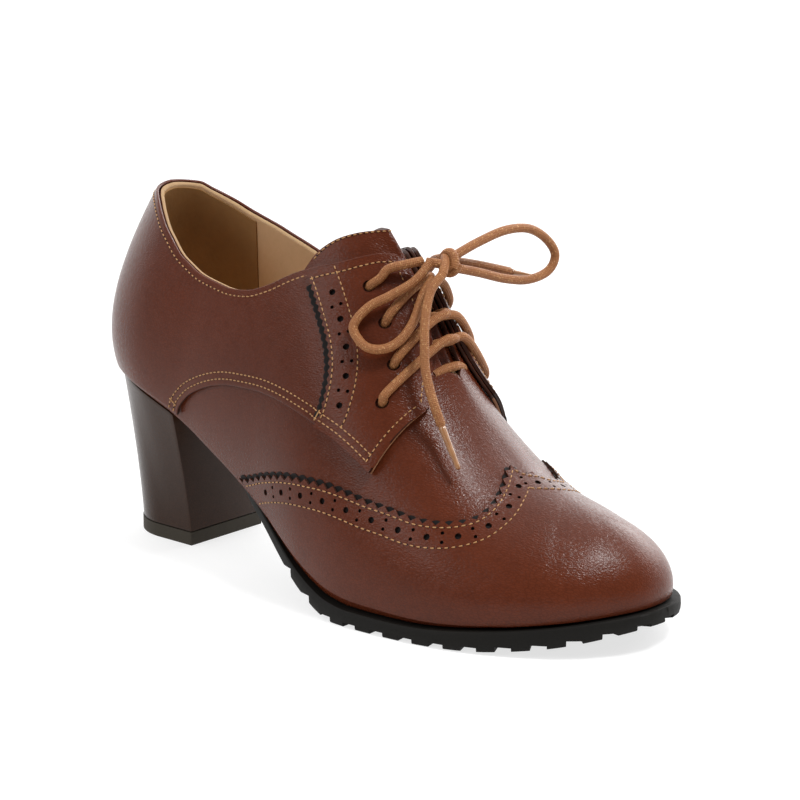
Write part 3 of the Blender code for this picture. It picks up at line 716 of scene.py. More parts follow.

# %% [markdown]
# ## The lace
# One round waxed cord runs through four pairs of eyelets and ends in a bow. The two loops and the two
# ends hang free, so each is a cord of its own with its own length, and the knot goes with the outer loop.
# Each is a mesh tube with a UV map along it, because the braid has to follow the cord round its bends.

# %% Cord routes
KNOT = (150.1, 1.5, 111.5)
LOOP_OUTER = [
    (148.3, -3.4, 112.4), (146.5, -9.7, 106.5), (141.7, -16.0, 102.1), (136.9, -20.8, 98.6),
    (134.2, -24.8, 93.6), (135.5, -26.1, 90.4), (140.2, -25.9, 86.8), (145.0, -23.1, 86.4),
    (148.2, -19.0, 88.9), (149.7, -14.2, 94.3), (149.2, -8.6, 102.5), (149.4, -4.4, 107.4)]
LOOP_INNER = [
    (150.6, 5.55, 113.2), (152.2, 15.4, 116.3), (153.9, 26.9, 118.7), (155.4, 37.3, 118.0),
    (156.6, 45.2, 113.7), (157.3, 49.4, 107.8), (156.8, 46.4, 102.7), (155.5, 37.6, 100.9),
    (153.9, 27.1, 102.6), (152.2, 15.5, 106.2), (150.6, 5.5, 109.0)]
END_OUTER = [
    (153.4, -3.9, 109.0), (153.2, -9.8, 104.0), (155.0, -14.5, 96.3), (157.3, -17.5, 88.5),
    (159.3, -19.3, 80.8), (163.2, -20.6, 72.7), (166.8, -20.5, 64.9)]
END_INNER = [(147.0, 7.7, 110.6), (148.0, 19.6, 107.6), (149.3, 29.0, 104.9), (150.0, 34.0, 103.4)]
AGLET_OUTER = [(166.95, -20.55, 64.5), (176.0, -22.9, 52.5)]
AGLET_INNER = [(150.1, 34.4, 103.3), (151.4, 45.0, 100.4)]


def smooth_path(points, count):
    """Even points on a cubic spline through a few given ones."""
    data = np.array(points, float)
    data = np.concatenate([[2 * data[0] - data[1]], data, [2 * data[-1] - data[-2]]])
    where = np.linspace(0, len(data) - 3, count)
    i = np.minimum(where.astype(int), len(data) - 4)
    s = (where - i)[:, None]
    return cubic(*(data[i + k] for k in range(4)), s)


def run_of(path):
    """Distance travelled at each point of a path."""
    return np.concatenate([[0], np.cumsum(np.linalg.norm(np.diff(path, axis=0), axis=1))])


def at_run(path, run, far):
    """Points of a path at some distances along it."""
    return np.column_stack([np.interp(far, run, path[:, k]) for k in range(path.shape[1])])


def even_path(path, step):
    """The same path with points an even distance apart."""
    run = run_of(path)
    return at_run(path, run, np.linspace(0, run[-1], max(3, int(round(run[-1] / step)) + 1)))


def own_axes(points):
    """Route points in millimetres from the heel back, moved into the frame."""
    return np.array(points) * MM + SHIFT


def cord_mesh(path, radius, sides=14):
    """Points, quads and UVs of a round tube; radius may change along it."""
    count = len(path)
    radius = np.broadcast_to(np.asarray(radius, float), (count,))
    ahead = unit(np.gradient(path, axis=0))
    side = np.cross(ahead[0], (0.31, 0.22, 0.92))
    rings = []
    turn = np.linspace(0, math.tau, sides, endpoint=False)
    for point, way, thick in zip(path, ahead, radius):
        side = unit(side - way * side.dot(way))
        other = np.cross(way, side)
        rings.append(point + thick * (np.cos(turn)[:, None] * side + np.sin(turn)[:, None] * other))
    points = np.concatenate(rings + [path[:1], path[-1:]])
    run = run_of(path) / (2 * LACE)
    faces = ring_faces(count, sides)
    lays = []
    for i in range(count - 1):
        for k in range(sides):
            u0, u1 = k / sides, (k + 1) / sides
            lays.append([(u0, run[i]), (u1, run[i]), (u1, run[i + 1]), (u0, run[i + 1])])
    first, last = count * sides, count * sides + 1
    for k in range(sides):
        n = (k + 1) % sides
        faces.append((first, n, k))
        lays.append([(0.5, run[0]), ((k + 1) / sides, run[0]), (k / sides, run[0])])
        base = (count - 1) * sides
        faces.append((last, base + k, base + n))
        lays.append([(0.5, run[-1]), (k / sides, run[-1]), ((k + 1) / sides, run[-1])])
    return points, faces, lays


def cord_piece(name, paths, radius, mat):
    """One object from one or more tubes, with the UV map that the braid follows."""
    points, faces, lays = [], [], []
    base = 0
    for path, thick in zip(paths, radius):
        p, f, lay = cord_mesh(path, thick)
        points.append(p)
        faces += [tuple(base + i for i in face) for face in f]
        lays += lay
        base += len(p)
    obj = plain_object(name, np.concatenate(points), faces, [mat], 60)
    layer = obj.data.uv_layers.new(name="lay")
    layer.data.foreach_set("uv", np.array([c for lay in lays for uv in lay for c in uv], float))
    return obj


def closed_ends(path, radius, run=0.9 * MM):
    """Radius along a tube that rounds off at both ends."""
    far = run_of(path)
    near = np.minimum(far, far[-1] - far)
    return radius * np.sqrt(np.clip(1 - (1 - np.clip(near / run, 0, 1)) ** 2, 0.05, 1))


print("knot at", own_axes(KNOT).round(4).tolist())

# %% Loops, ends and aglets
routes = {"lace_loop_outer": LOOP_OUTER, "lace_loop_inner": LOOP_INNER}
cords = {}
for name, route in routes.items():
    path = even_path(smooth_path(own_axes(route), 240), 0.6 * MM)
    obj = cord_piece(name + "_cord", [path], [LACE], CORD)
    put(obj, "lace_cord", name)
    cords[name] = (obj, path, [], "object")
for name, route, tag, tag_name in (
        ("lace_end_outer", END_OUTER, AGLET_OUTER, "aglet_outer"),
        ("lace_end_inner", END_INNER, AGLET_INNER, "aglet_inner")):
    path = even_path(smooth_path(own_axes(list(route) + list(tag[1:])), 240), 0.6 * MM)
    film_path = even_path(smooth_path(own_axes(tag), 30), 0.5 * MM)
    film_thick = closed_ends(film_path, LACE * np.linspace(0.80, 0.52, len(film_path)))
    tail = np.linalg.norm(path - film_path[0], axis=1).argmin()
    thick = np.full(len(path), LACE)
    thick[tail:] = LACE * np.linspace(0.70, 0.40, len(path) - tail)
    obj = cord_piece(name + "_cord", [path], [thick], CORD)
    film = cord_piece(tag_name + "_film", [film_path], [film_thick], AGLET)
    put(obj, "lace_cord", name)
    put(film, "aglet", tag_name)
    cords[name] = (obj, path, [film], "fitting")
print({name: round(float(run_of(path)[-1]), 4) for name, (_, path, _, _) in cords.items()})

# %% [markdown]
# ## Knot and crossings
# Each strand comes up out of its eyelet, passes over the edge of its own facing, crosses the tongue and
# dives under the other facing. The strands of the outer side lie on top where two of them meet.

# %% Knot
EDGE_LEAN = 0.062
KNOT_UNDER = [
    (146.6, -4.0, 111.8), (149.2, -2.6, 111.6), (151.2, 1.0, 110.6), (151.0, 4.2, 110.2),
    (150.2, 6.6, 109.4)]
KNOT_OVER = [
    (144.8, 5.0, 111.3), (147.6, 3.4, 112.6), (150.4, 0.8, 112.4), (152.4, -2.0, 110.8),
    (153.4, -4.2, 108.8)]


def ring_path(centre, across, tilt, sweep):
    """A wrap of cord round the bow, a little more than one turn."""
    turn = np.linspace(-0.3, math.tau * sweep - 0.3, 60)
    local = np.column_stack([
        across[0] * np.cos(turn), tilt * np.sin(turn) + 0.35 * MM * turn, across[1] * np.sin(turn)])
    return np.array(centre) + local


knot_centre = own_axes(KNOT)
wraps = [
    ring_path(knot_centre + (0.3 * MM, 0.2 * MM, -0.4 * MM), (2.9 * MM, 3.3 * MM), 0.8 * MM, 1.04),
    smooth_path(own_axes(KNOT_UNDER), 40), smooth_path(own_axes(KNOT_OVER), 40)]
knot = cord_piece("lace_knot_wraps", [even_path(w, 0.5 * MM) for w in wraps], [LACE, LACE, LACE], CORD)
put(knot, "lace_cord", "lace_knot")
cords["lace_loop_outer"][2].append(knot)

# %% Crossing strands
ON_FACING = TOP_OF_FACING + LACE
UNDER = -1.1 * MM
IN_EYELET = -1.2 * MM
OUT_OF_EYELET = 2.4 * MM
TO_KNOT_OUTER = [(137.0, -11.3, 109.5), (142.4, -7.2, 111.3), (145.0, -4.0, 112.0)]
TO_KNOT_INNER = [(137.0, 11.0, 109.0), (142.0, 8.0, 110.6), (144.6, 5.2, 111.4)]


def strand(pair, side):
    """One strand from its eyelet to the far facing, one pair higher."""
    place, share = EYELETS[pair]
    next_place = EYELETS[pair - 1][0]
    own = 1 - share
    over = 3.6 * MM if side < 0 else 0.7 * MM
    leans = np.array([
        own + 0.004, own - 0.006, own - 0.045, EDGE_LEAN + 0.02, 0.0, -EDGE_LEAN, -EDGE_LEAN - 0.05])
    part = (own - leans) / (2 * own)
    lifts = np.array([IN_EYELET, OUT_OF_EYELET, ON_FACING, ON_FACING, over, UNDER, UNDER - 0.5 * MM])
    places = place + (next_place - place) * part
    return smooth_path(on_last(places, side * leans, lifts), 120)


def strand_to_knot(side, route):
    place, share = EYELETS[0]
    own = 1 - share
    leans = side * np.array([own + 0.004, own - 0.006, own - 0.05])
    lifts = np.array([IN_EYELET, OUT_OF_EYELET, ON_FACING])
    start = on_last(place + np.array([0.0, 0.0, 0.02]), leans, lifts)
    return smooth_path(np.concatenate([start, own_axes(route)]), 120)


strands = [strand(pair, side) for pair in (1, 2, 3) for side in (-1, 1)]
strands.append(strand_to_knot(-1, TO_KNOT_OUTER))
strands.append(strand_to_knot(1, TO_KNOT_INNER))
bar_lean = np.linspace(-0.125, 0.125, 9)
strands.append(smooth_path(on_last(5.80, bar_lean, -0.4 * MM - 5 * MM * np.abs(bar_lean)), 60))
lace = cord_piece("lace_strands", [even_path(s, 0.6 * MM) for s in strands], [LACE] * len(strands), CORD)
put(lace, "lace_cord", "lace_crossings")

# %% [markdown]
# ## The upper
# The vamp and the lining are one shell on the last. Solidify gives it a wall whose inner side takes the
# lining's material and whose rim shows the pale edge of the lining hide. In front of the collar the rim is
# dark, partly a dyed edge and partly a painted shade line.

# %% Upper shell
places = np.concatenate([
    np.linspace(0, 3.95, 80, endpoint=False), np.linspace(3.95, 6.2, 76, endpoint=False),
    np.linspace(6.2, 10, 90)])
loops = np.concatenate([places, inner_loop(places[-2:0:-1])])
tops = np.concatenate([curve(TOP_EDGE, places, 1), curve(TOP_EDGE, places, 2)[-2:0:-1]])
shares = np.linspace(0, 1, 46)
upper = sheet_piece(
    "vamp_and_lining", wall(loops[:, None], tops[:, None] * shares[None, :]), WALL, -1,
    [LEATHER, LINING, CREAM, DYED_EDGE_AND_SHADE], closed=True, edge=0.3 * MM, rim_slot=2, back_slot=1)
COLLAR_FRONT = 112 * MM
for face in upper.data.polygons:
    if face.material_index == 2 and face.center.x > COLLAR_FRONT + SHIFT[0]:
        face.material_index = 3
put(upper, "leather", "upper")

# %% Heel lining
# A second lining sheet inside the heel carries that darker tone, partly painted shade.
HEEL_LINING_END = 2.32
HEEL_LINING_LOW = 0.06
HEEL_LINING_DROP = 0.012
back_loops = np.linspace(-HEEL_LINING_END, HEEL_LINING_END, 90)
back_places = np.abs(back_loops)
back_tops = np.where(back_loops < 0, curve(TOP_EDGE, back_places, 2), curve(TOP_EDGE, back_places, 1))
back_tops = back_tops - HEEL_LINING_DROP
back_shares = HEEL_LINING_LOW + (back_tops[:, None] - HEEL_LINING_LOW) * np.linspace(0, 1, 30)[None, :]
shaded_heel_lining = sheet_piece(
    "shaded_heel_lining", wall(back_loops[:, None], back_shares, -WALL - 0.05 * MM), 0.4 * MM, -1, [SHADED_HEEL_LINING])
put(shaded_heel_lining, "lining")

# %% [markdown]
# ## Quarters
# One panel wraps the heel from facing to facing. Its lower edge sweeps up from the heel seat to the tip
# of the flap, and it is cut raw there, so that rim is paler than the folded collar. Behind the flap the lower
# rim is dark, and so is the collar's rim at its front: painted shade lines along edges that sit in shadow.

# %% Quarters
COLLAR_END = 4.0
COLLAR_RIM = 2.2 * MM


def ruled(table, side, across):
    """Loop and share of a panel's grid between its lower and its upper edge."""
    mix = np.linspace(0, 1, across)[None, :]
    place = table[:, 0:1] * (1 - mix) + table[:, 2:3] * mix
    share = table[:, 1:2] * (1 - mix) + table[:, 3:4] * mix
    return on_side(place, side), share


def quarter_rows(side, count):
    rows = along_rows(QUARTER, count)
    if side > 0:
        collar = rows[:, 2] < COLLAR_END
        rows[collar, 3] = curve(TOP_EDGE, rows[collar, 2], 2)
    return rows


outer_loop, outer_share = ruled(quarter_rows(-1, 150), -1, 44)
back_loop, back_share = ruled(quarter_rows(1, 150), 1, 44)
quarter_loop = np.concatenate([back_loop[:0:-1] - LOOP, outer_loop])
quarter_share = np.concatenate([back_share[:0:-1], outer_share])
quarter_grid = wall(quarter_loop, quarter_share, PANEL_GAP)
quarters = sheet_piece(
    "quarters_leather", quarter_grid, PANEL, 1, [LEATHER, EDGE, DYED_EDGE_AND_SHADE], edge=0.3 * MM, rim_slot=1)
FLAP_START = 128 * MM
collar_tree = tree_of(quarter_grid[:, -1])
# The collar's rim at its front and the lower rim behind the flap take the dark edge as a painted shade line.
for face in quarters.data.polygons:
    if face.material_index == 1 and collar_tree.find(face.center)[2] < COLLAR_RIM:
        face.material_index = 0 if face.center.x < COLLAR_FRONT + SHIFT[0] else 2
    elif face.material_index == 1 and face.center.x < FLAP_START + SHIFT[0]:
        face.material_index = 2
put(quarters, "leather", "quarters")

# %% Tongue
TONGUE_RIBS = 11


def across_rows(grid, count):
    """Finer columns on a smooth curve through the coarse ones of each row."""
    return np.stack([smooth_path(row, count) for row in grid])


tongue_rows = along_rows(TONGUE, 70)
across = np.linspace(-1, 1, TONGUE_RIBS)[None, :]
blend = across ** 2 * (3 - 2 * np.abs(across))
tongue_place = tongue_rows[:, 0:1] * (1 - blend) + tongue_rows[:, 1:2] * blend
tongue_lean = across * (1 - tongue_rows[:, 2:3])
tongue_grid = across_rows(on_last(tongue_place, tongue_lean, -WALL - 1.6 * GAP), 61)
tongue = sheet_piece(
    "tongue_leather", tongue_grid, TONGUE_THICK, -1, [LEATHER, LINING, DYED_EDGE_AND_SHADE],
    edge=0.4 * MM, rim_slot=2, back_slot=1)
put(tongue, "leather", "tongue")

# %% [markdown]
# ## Wing tip and eyestays
# These are cut panels with a pinked edge. A panel is triangulated in the plane of place and lean, with
# its outline and its punched holes as fixed edges, and then laid on the last. A step along the surface
# is measured in metres, so the teeth and the holes keep their size wherever they sit.

# %% Walking on the last


def spans(place, lean):
    """How a point moves with the place and with the lean, and the outward normal there."""
    step = 0.008
    by_place = (on_last(place + step, lean) - on_last(place - step, lean)) / (2 * step)
    by_lean = (on_last(place, lean + step) - on_last(place, lean - step)) / (2 * step)
    return by_place, by_lean, unit(np.cross(by_place, by_lean))


def walk(place, lean, move, steps=4):
    """Move points over the last by a vector in metres, in a few short steps."""
    place = np.array(place, float)
    lean = np.array(lean, float)
    for _ in range(steps):
        a, b, _ = spans(place, lean)
        aa, ab, bb = (a * a).sum(-1), (a * b).sum(-1), (b * b).sum(-1)
        to_a, to_b = (a * move).sum(-1) / steps, (b * move).sum(-1) / steps
        det = np.maximum(aa * bb - ab * ab, 1e-12)
        place = place + (to_a * bb - to_b * ab) / det
        lean = lean + (to_b * aa - to_a * ab) / det
    return np.column_stack([place, lean])


def along(path, pitch, start=0.0):
    """Points of a path of place and lean, an even distance apart in metres."""
    fine = at_run(path, np.arange(len(path)), np.linspace(0, len(path) - 1, 1200))
    run = run_of(on_last(fine[:, 0], fine[:, 1]))
    return at_run(fine, run, np.arange(start, run[-1], pitch))


def beside(path, distance):
    """A line beside a path on the last, to the left of the way along it for a positive distance."""
    ahead = np.gradient(on_last(path[:, 0], path[:, 1]), axis=0)
    left = unit(np.cross(spans(path[:, 0], path[:, 1])[2], ahead))
    return walk(path[:, 0], path[:, 1], left * np.asarray(distance)[..., None])


def parallel(path, distance):
    """A line beside a path without the folds that it would make inside a sharp corner."""
    line = beside(path, distance)
    apart = on_last(line[:, 0], line[:, 1])[:, None] - on_last(path[:, 0], path[:, 1])[None]
    return line[np.linalg.norm(apart, axis=2).min(1) > 0.93 * abs(distance)]


def pinked(path, pitch, at_tips, at_valleys):
    """A zigzag edge: its tips and its valleys at two distances beside the path."""
    spots = along(path, pitch / 2)
    valleys = np.arange(len(spots)) % 2 == 1
    return beside(spots, np.where(valleys, at_valleys, at_tips))


def hole(place, lean, radius, count=14):
    """A round hole on the last as a closed ring of places and leans."""
    ahead, _, normal = spans(np.array(place), np.array(lean))
    first = unit(ahead)
    second = np.cross(normal, first)
    turn = np.linspace(0, math.tau, count, endpoint=False)[:, None]
    move = radius * (np.cos(turn) * first + np.sin(turn) * second)
    return walk(np.full(count, place), np.full(count, lean), move, 1)


def inside(points, polygon):
    """Which points lie inside a closed polygon, by counting the edges to their right."""
    odd = np.zeros(len(points), bool)
    for (x0, y0), (x1, y1) in zip(polygon, np.roll(polygon, -1, axis=0)):
        crosses = (y0 > points[:, 1]) != (y1 > points[:, 1])
        if crosses.any():
            odd ^= crosses & (points[:, 0] < x0 + (points[:, 1] - y0) * (x1 - x0) / (y1 - y0))
    return odd


PLANE = np.array([24.0, 70.0])


def cut_panel(name, outline, holes, fill, lift, thick, mats, near=0.6 * MM):
    """A panel from its outline, its holes and the points that carry its curve."""
    edges = []
    points = []
    for ring in [outline] + holes:
        base = len(points)
        points += [tuple(p) for p in ring * PLANE]
        edges += [(base + k, base + (k + 1) % len(ring)) for k in range(len(ring))]
    fixed = np.array(points) / PLANE
    tree = tree_of(on_last(fixed[:, 0], fixed[:, 1]))
    fill = fill[inside(fill * PLANE, outline * PLANE)]
    keep = np.array([tree.find(p)[2] > near for p in on_last(fill[:, 0], fill[:, 1])])
    points += [tuple(p) for p in fill[keep] * PLANE]
    verts, _, faces, _, _, _ = delaunay_2d_cdt([Vector(p) for p in points], edges, [], 0, 1e-6)
    flat = np.array([tuple(v) for v in verts])
    tris = np.array(faces)
    middle = flat[tris].mean(1)
    kept = inside(middle, outline * PLANE)
    for ring in holes:
        near_box = np.abs(middle - (ring * PLANE).mean(0)).max(1) < 3
        spots = np.flatnonzero(near_box & kept)
        kept[spots[inside(middle[spots], ring * PLANE)]] = False
    laid = on_last(flat[:, 0] / PLANE[0], flat[:, 1] / PLANE[1], lift)
    obj = plain_object(name, laid, tris[kept], mats)
    merge(obj, 0.00001)
    loose = bmesh.new()
    loose.from_mesh(obj.data)
    bmesh.ops.delete(loose, geom=[v for v in loose.verts if not v.link_faces], context="VERTS")
    loose.to_mesh(obj.data)
    loose.free()
    turn_out(obj, laid.mean(0))
    thicken(obj, thick, 1, 0.0, len(mats) - 1)
    return obj


print("one place at the ball", round(float(np.linalg.norm(spans(np.array(6.0), np.array(-0.5))[0])), 4), "m")

# %% Wing tip
TOOTH = 4.0 * MM
TOOTH_DEPTH = 1.7 * MM
BIG_HOLE = 1.05 * MM
SMALL_HOLE = 0.6 * MM
HOLE_PITCH = 10 * MM
BAND_UPPER = 2.4 * MM
BAND_MIDDLE = 5.6 * MM
BAND_LOWER = 9.0 * MM
PAIR = 3.0 * MM
FIRST_HOLE = 6 * MM
WING_START = 3.83


def band_holes(middle, pitch, pair, first, hem):
    """Big holes along a line with pairs of small holes between them."""
    centres = along(middle, pitch / 2, first)
    rings = []
    for i, (place, lean) in enumerate(centres):
        if abs(lean) > 1 - hem:
            continue
        if i % 2 == 0:
            rings.append(hole(place, lean, BIG_HOLE))
        elif i + 1 < len(centres):
            for off in (-pair / 2, pair / 2):
                spot = beside(centres[i - 1:i + 2], off)[1]
                if abs(spot[1]) < 1 - hem + 0.02:
                    rings.append(hole(spot[0], spot[1], SMALL_HOLE, 10))
    return rings


wing_line = along(along_rows(WING_EDGE, 600), 1.0 * MM)
hem_places = np.linspace(WING_START, TIP, 210)
hem_lean = np.full(len(hem_places), 1 - HEM)
toe_lean = np.linspace(HEM - 1, 1 - HEM, 121)[1:-1]
wing_outline = np.concatenate([
    np.column_stack([hem_places, -hem_lean]), np.column_stack([np.full(len(toe_lean), TIP), toe_lean]),
    np.column_stack([hem_places, hem_lean])[::-1], pinked(wing_line, TOOTH, 0.0, -TOOTH_DEPTH)[-2:0:-1]])
wing_holes = band_holes(parallel(wing_line, -BAND_MIDDLE), HOLE_PITCH, PAIR, FIRST_HOLE, HEM + 0.035)
wing_grid = np.meshgrid(np.linspace(3.84, 9.98, 175), np.linspace(HEM - 1, 1 - HEM, 97), indexing="ij")
wing_points = np.column_stack([g.ravel() for g in wing_grid])
wing = cut_panel(
    "wing_tip_leather", wing_outline, wing_holes, wing_points, WING_LIFT, WING_THICK, [LEATHER, DYED_EDGE_AND_SHADE])
put(wing, "leather", "wing_tip")
print("wing holes", len(wing_holes))

# %% Eyestays
EYELET_HOLE = 2.0 * MM
STAY_TOOTH = 2.6 * MM
STAY_DEPTH = 0.8 * MM
STAY_BAND = 6.3 * MM
STAY_PITCH = 9.6 * MM
STAY_FIRST = 9.9 * MM
STAY_TAIL = 10


def stay_grid(count, columns):
    """Places and shares of the eyestay, bent to its rear edge and flush with the quarter below."""
    mix = np.linspace(0, 1, columns)[None, :]
    stay = along_rows(EYESTAY, count)
    flap = along_rows(QUARTER, 200)
    onward = 0.02 * np.linspace(0, 1, count) ** 4
    stay[:, 0] += onward
    stay[:, 2] += onward
    stay[:, 1] = np.interp(stay[:, 0], flap[:, 0], flap[:, 1])
    place = stay[:, 0:1] * (1 - mix) + stay[:, 2:3] * mix
    share = stay[:, 1:2] * (1 - mix) + stay[:, 3:4] * mix
    rear = along_rows(EYESTAY_REAR, columns)
    fade = np.linspace(1, 0, count)[:, None] ** 2
    bend = np.linspace(0, 1, columns)[None, :] ** 0.4
    place = place + fade * (rear[:, 0][None, :] - place[0][None, :])
    share = share + fade * bend * (rear[:, 1][None, :] - share[0][None, :])
    return place, share


stay_place, stay_share = stay_grid(70, 60)
stay_rear = {}
stay_grids = {}
for side, name in ((-1, "eyestay_outer"), (1, "eyestay_inner")):
    grid = np.stack([stay_place, side * (1 - stay_share)], -1)
    rear = along(grid[0], 0.5 * MM)
    stay_rear[side] = rear
    stay_grids[side] = grid
    outline = np.concatenate([
        grid[:0:-1, 0], pinked(rear, STAY_TOOTH, 0.0, side * STAY_DEPTH), grid[:, -1], grid[-1, -2:0:-1]])
    holes = [hole(p, side * (1 - s), EYELET_HOLE, 18) for p, s in EYELETS]
    band = parallel(rear, side * STAY_BAND)[:-STAY_TAIL]
    holes += band_holes(band, STAY_PITCH, PAIR, STAY_FIRST, 0.0)
    fill = grid[1:-1, 1:-1].reshape(-1, 2)
    stay = cut_panel(name + "_leather", outline, holes, fill, FACING, PANEL, [LEATHER, DYED_EDGE_AND_SHADE])
    put(stay, "leather", name)

# %% [markdown]
# ## Black underlays
# Behind the punched bands lies a thin black layer. It fills the holes, and its own scallops show in the
# notches of the pinked edge as small dark points. Its black is partly painted shade in the holes and notches.

# %% Underlay strips
# How far the wing's underlay reaches past the edge: place, reach in millimetres
FRINGE = [(3.8, 1.1), (5.0, 1.0), (5.9, 0.35), (6.5, 0.25), (10.0, 0.35)]
STAY_FRINGE = 2.0 * MM
WING_UNDER = 7.6 * MM
STAY_UNDER = 8.4 * MM


def scalloped(path, pitch, beyond, dip, way):
    """Outer edge of an underlay: rounded scallops that reach beyond the edge of the panel above."""
    spots = along(path, pitch / 6)
    wave = np.abs(np.sin(np.arange(len(spots)) * math.pi / 6))
    return beside(spots, way * (beyond(spots[:, 0]) - dip * (1 - wave)))


outer_line = scalloped(
    wing_line, TOOTH, lambda place: np.interp(place, *np.array(FRINGE).T) * MM, 0.9 * MM, 1)
fringe = np.concatenate([outer_line, parallel(wing_line, -WING_UNDER)[::-1]])
fringe[:, 1] = np.clip(fringe[:, 1], HEM - 1, 1 - HEM)
put(cut_panel("wing_underlay", fringe, [], wing_points, 0.04 * MM, 0.2 * MM, [UNDERLAY_AND_SHADE]), "leather")
for side, tag in ((-1, "outer"), (1, "inner")):
    rear = stay_rear[side][5:-7]
    outer_line = scalloped(rear, STAY_TOOTH, lambda place: np.full(len(place), STAY_FRINGE), 0.6 * MM, -side)
    fringe = np.concatenate([outer_line, parallel(rear, side * STAY_UNDER)[::-1]])
    fill = stay_grids[side][1:-1, 1:-1].reshape(-1, 2)
    under = cut_panel(
        "stay_underlay_" + tag, fringe, [], fill, PANEL_GAP + PANEL + 0.03 * MM, 0.25 * MM, [UNDERLAY_AND_SHADE])
    put(under, "leather")

# %% [markdown]
# ## Sole and heel
# The outsole is a slab under the foot from the heel breast to the toe, with lugs cut into its forefoot
# edge. The heel is a stack of rings from the seat to a smaller foot with a straight front.

# %% Outsole


def ribbed_slab(places, margins, levels, columns):
    """A slab under the foot: ribs run across, and levels give each side's margin and height."""
    part = np.linspace(0, 1, columns)[None, :, None]
    back = inner_loop(places)
    rows = []
    for margin, height in zip(margins, levels):
        outer = around(places)[:, :2] + outline_normal(places) * margin[:, None]
        inner = around(back)[:, :2] + outline_normal(back) * margin[:, None]
        rows.append((outer, inner, height))
    top_outer, top_inner, top_height = rows[0]
    low_outer, low_inner, low_height = rows[-1]
    top = top_outer[:, None] * (1 - part) + top_inner[:, None] * part
    low = low_outer[:, None] * (1 - part) + low_inner[:, None] * part
    section = [np.concatenate([top, top_height(top[..., :1])], -1)]
    for _, inner, height in rows[1:-1]:
        section.append(np.concatenate([inner, height(inner[:, :1])], -1)[:, None])
    section.append(np.concatenate([low, low_height(low[..., :1])], -1)[:, ::-1])
    for outer, _, height in rows[-2:0:-1]:
        section.append(np.concatenate([outer, height(outer[:, :1])], -1)[:, None])
    section = np.concatenate(section, 1)
    count, wide = section.shape[:2]
    faces = ring_faces(count, wide)
    faces.append(tuple(range(wide)))
    faces.append(tuple((count - 1) * wide + k for k in range(wide)))
    return section.reshape(-1, 3) + SHIFT, faces


def between(mix):
    """Height part of the way down from the top of the sole to its underside."""
    return lambda x: (sole_height(x) - GAP) * (1 - mix) + underside(x) * mix


sole_places = np.concatenate([np.linspace(2.68, 8, 130), np.linspace(8.05, 9.9, 50)])
# Reach of the welt past the feather edge: place, parts of WELT
WELT_REACH = [
    (2.6, -1.5), (3.5, -1.4), (4.0, -0.2), (4.5, 0.4), (5.2, 0.9), (6.0, 1.2), (7.5, 1.2), (9.0, 1.4),
    (10.0, 1.5)]
welt = WELT * curve(WELT_REACH, sole_places)
soft = 0.35 * MM
points, faces = ribbed_slab(
    sole_places, [welt - soft, welt, welt + 0.15 * MM, welt, welt - soft],
    [between(0), between(0.1), between(0.5), between(0.92), between(1)], 9)
outsole = plain_object("outsole_rubber", points, faces, [RUBBER])
merge(outsole)
rim = np.linspace(4.6, LOOP - 4.6, 800)
rim_plan = around(rim)[:, :2] + outline_normal(rim) * WELT
run = run_of(rim_plan)
cut_points = []
cut_faces = []
for far in np.arange(LUG_PITCH / 2, run[-1], LUG_PITCH):
    out = outline_normal(np.interp(far, run, rim))
    edge = at_run(rim_plan, run, far)[0]
    tangent = np.array([-out[1], out[0]])
    floor = underside(edge[0])
    base = len(cut_points)
    for depth in (-7 * MM, 4 * MM):
        for half in (-LUG_CUT / 2, LUG_CUT / 2):
            for height in (floor - 6 * MM, floor + LUG_DEPTH):
                spot = edge + out * depth + tangent * half
                cut_points.append((spot[0], spot[1], height))
    cut_faces += [tuple(base + k for k in q) for q in (
        (0, 1, 3, 2), (4, 6, 7, 5), (0, 4, 5, 1), (2, 3, 7, 6), (0, 2, 6, 4), (1, 5, 7, 3))]
notches = plain_object("lug_notches", np.array(cut_points) + SHIFT, cut_faces, [RUBBER])
merge(notches)
carve = outsole.modifiers.new("lugs", "BOOLEAN")
carve.operation = "DIFFERENCE"
carve.object = notches
carve.solver = "EXACT"
bake(outsole)
bpy.data.objects.remove(notches, do_unlink=True)
soften(outsole, 35)
put(outsole, "rubber", "outsole")

# %% Insole
sock_places = np.linspace(0.12, 9.88, 130)
inset = np.full(len(sock_places), -WALL / 2)
points, faces = ribbed_slab(
    sock_places, [inset, inset],
    [lambda x: sole_height(x) + INSOLE_THICK, lambda x: sole_height(x) + 0.1 * MM], 15)
insole = plain_object("insole_sock", points, faces, [LINING])
merge(insole)
put(insole, "lining", "insole")

# %% Heel and top lift
HEEL_ROUND = 19 * MM
HEEL_TAPER = 1.25
seat_end = float(np.interp(BREAST - 0.5 * MM, around(np.linspace(2, 3, 60))[:, 0], np.linspace(2, 3, 60)))
seat = np.linspace(-seat_end, seat_end, 81)
seat_plan = around(seat)[:, :2] + outline_normal(seat) * 0.2 * MM
seat_plan[[0, -1], 0] = BREAST - 0.5 * MM


def heel_foot(count, half, back, front):
    """Flat-fronted outline: straight sides and an elliptic back, evenly spaced."""
    turn = np.linspace(math.pi / 2, -math.pi / 2, 121)
    bend = np.column_stack([back + HEEL_ROUND - HEEL_ROUND * np.cos(turn), half * np.sin(turn)])
    line = np.concatenate([[(front, half)], bend, [(front, -half)]])
    run = run_of(line)
    return at_run(line, run, np.linspace(0, run[-1], count))


def ring_stack(name, rings, mat):
    """A block from rings that are open at the front; the caps run across in strips."""
    count = rings[0].shape[0]
    faces = ring_faces(len(rings), count)
    for base in (0, (len(rings) - 1) * count):
        for k in range(count // 2):
            quad = [base + k, base + k + 1, base + count - 2 - k, base + count - 1 - k]
            faces.append(tuple(dict.fromkeys(quad)))
    obj = plain_object(name, np.concatenate(rings) + SHIFT, faces, [mat])
    merge(obj)
    round_edges(obj, 0.5 * MM, 3)
    bake(obj)
    soften(obj, 40)
    return obj


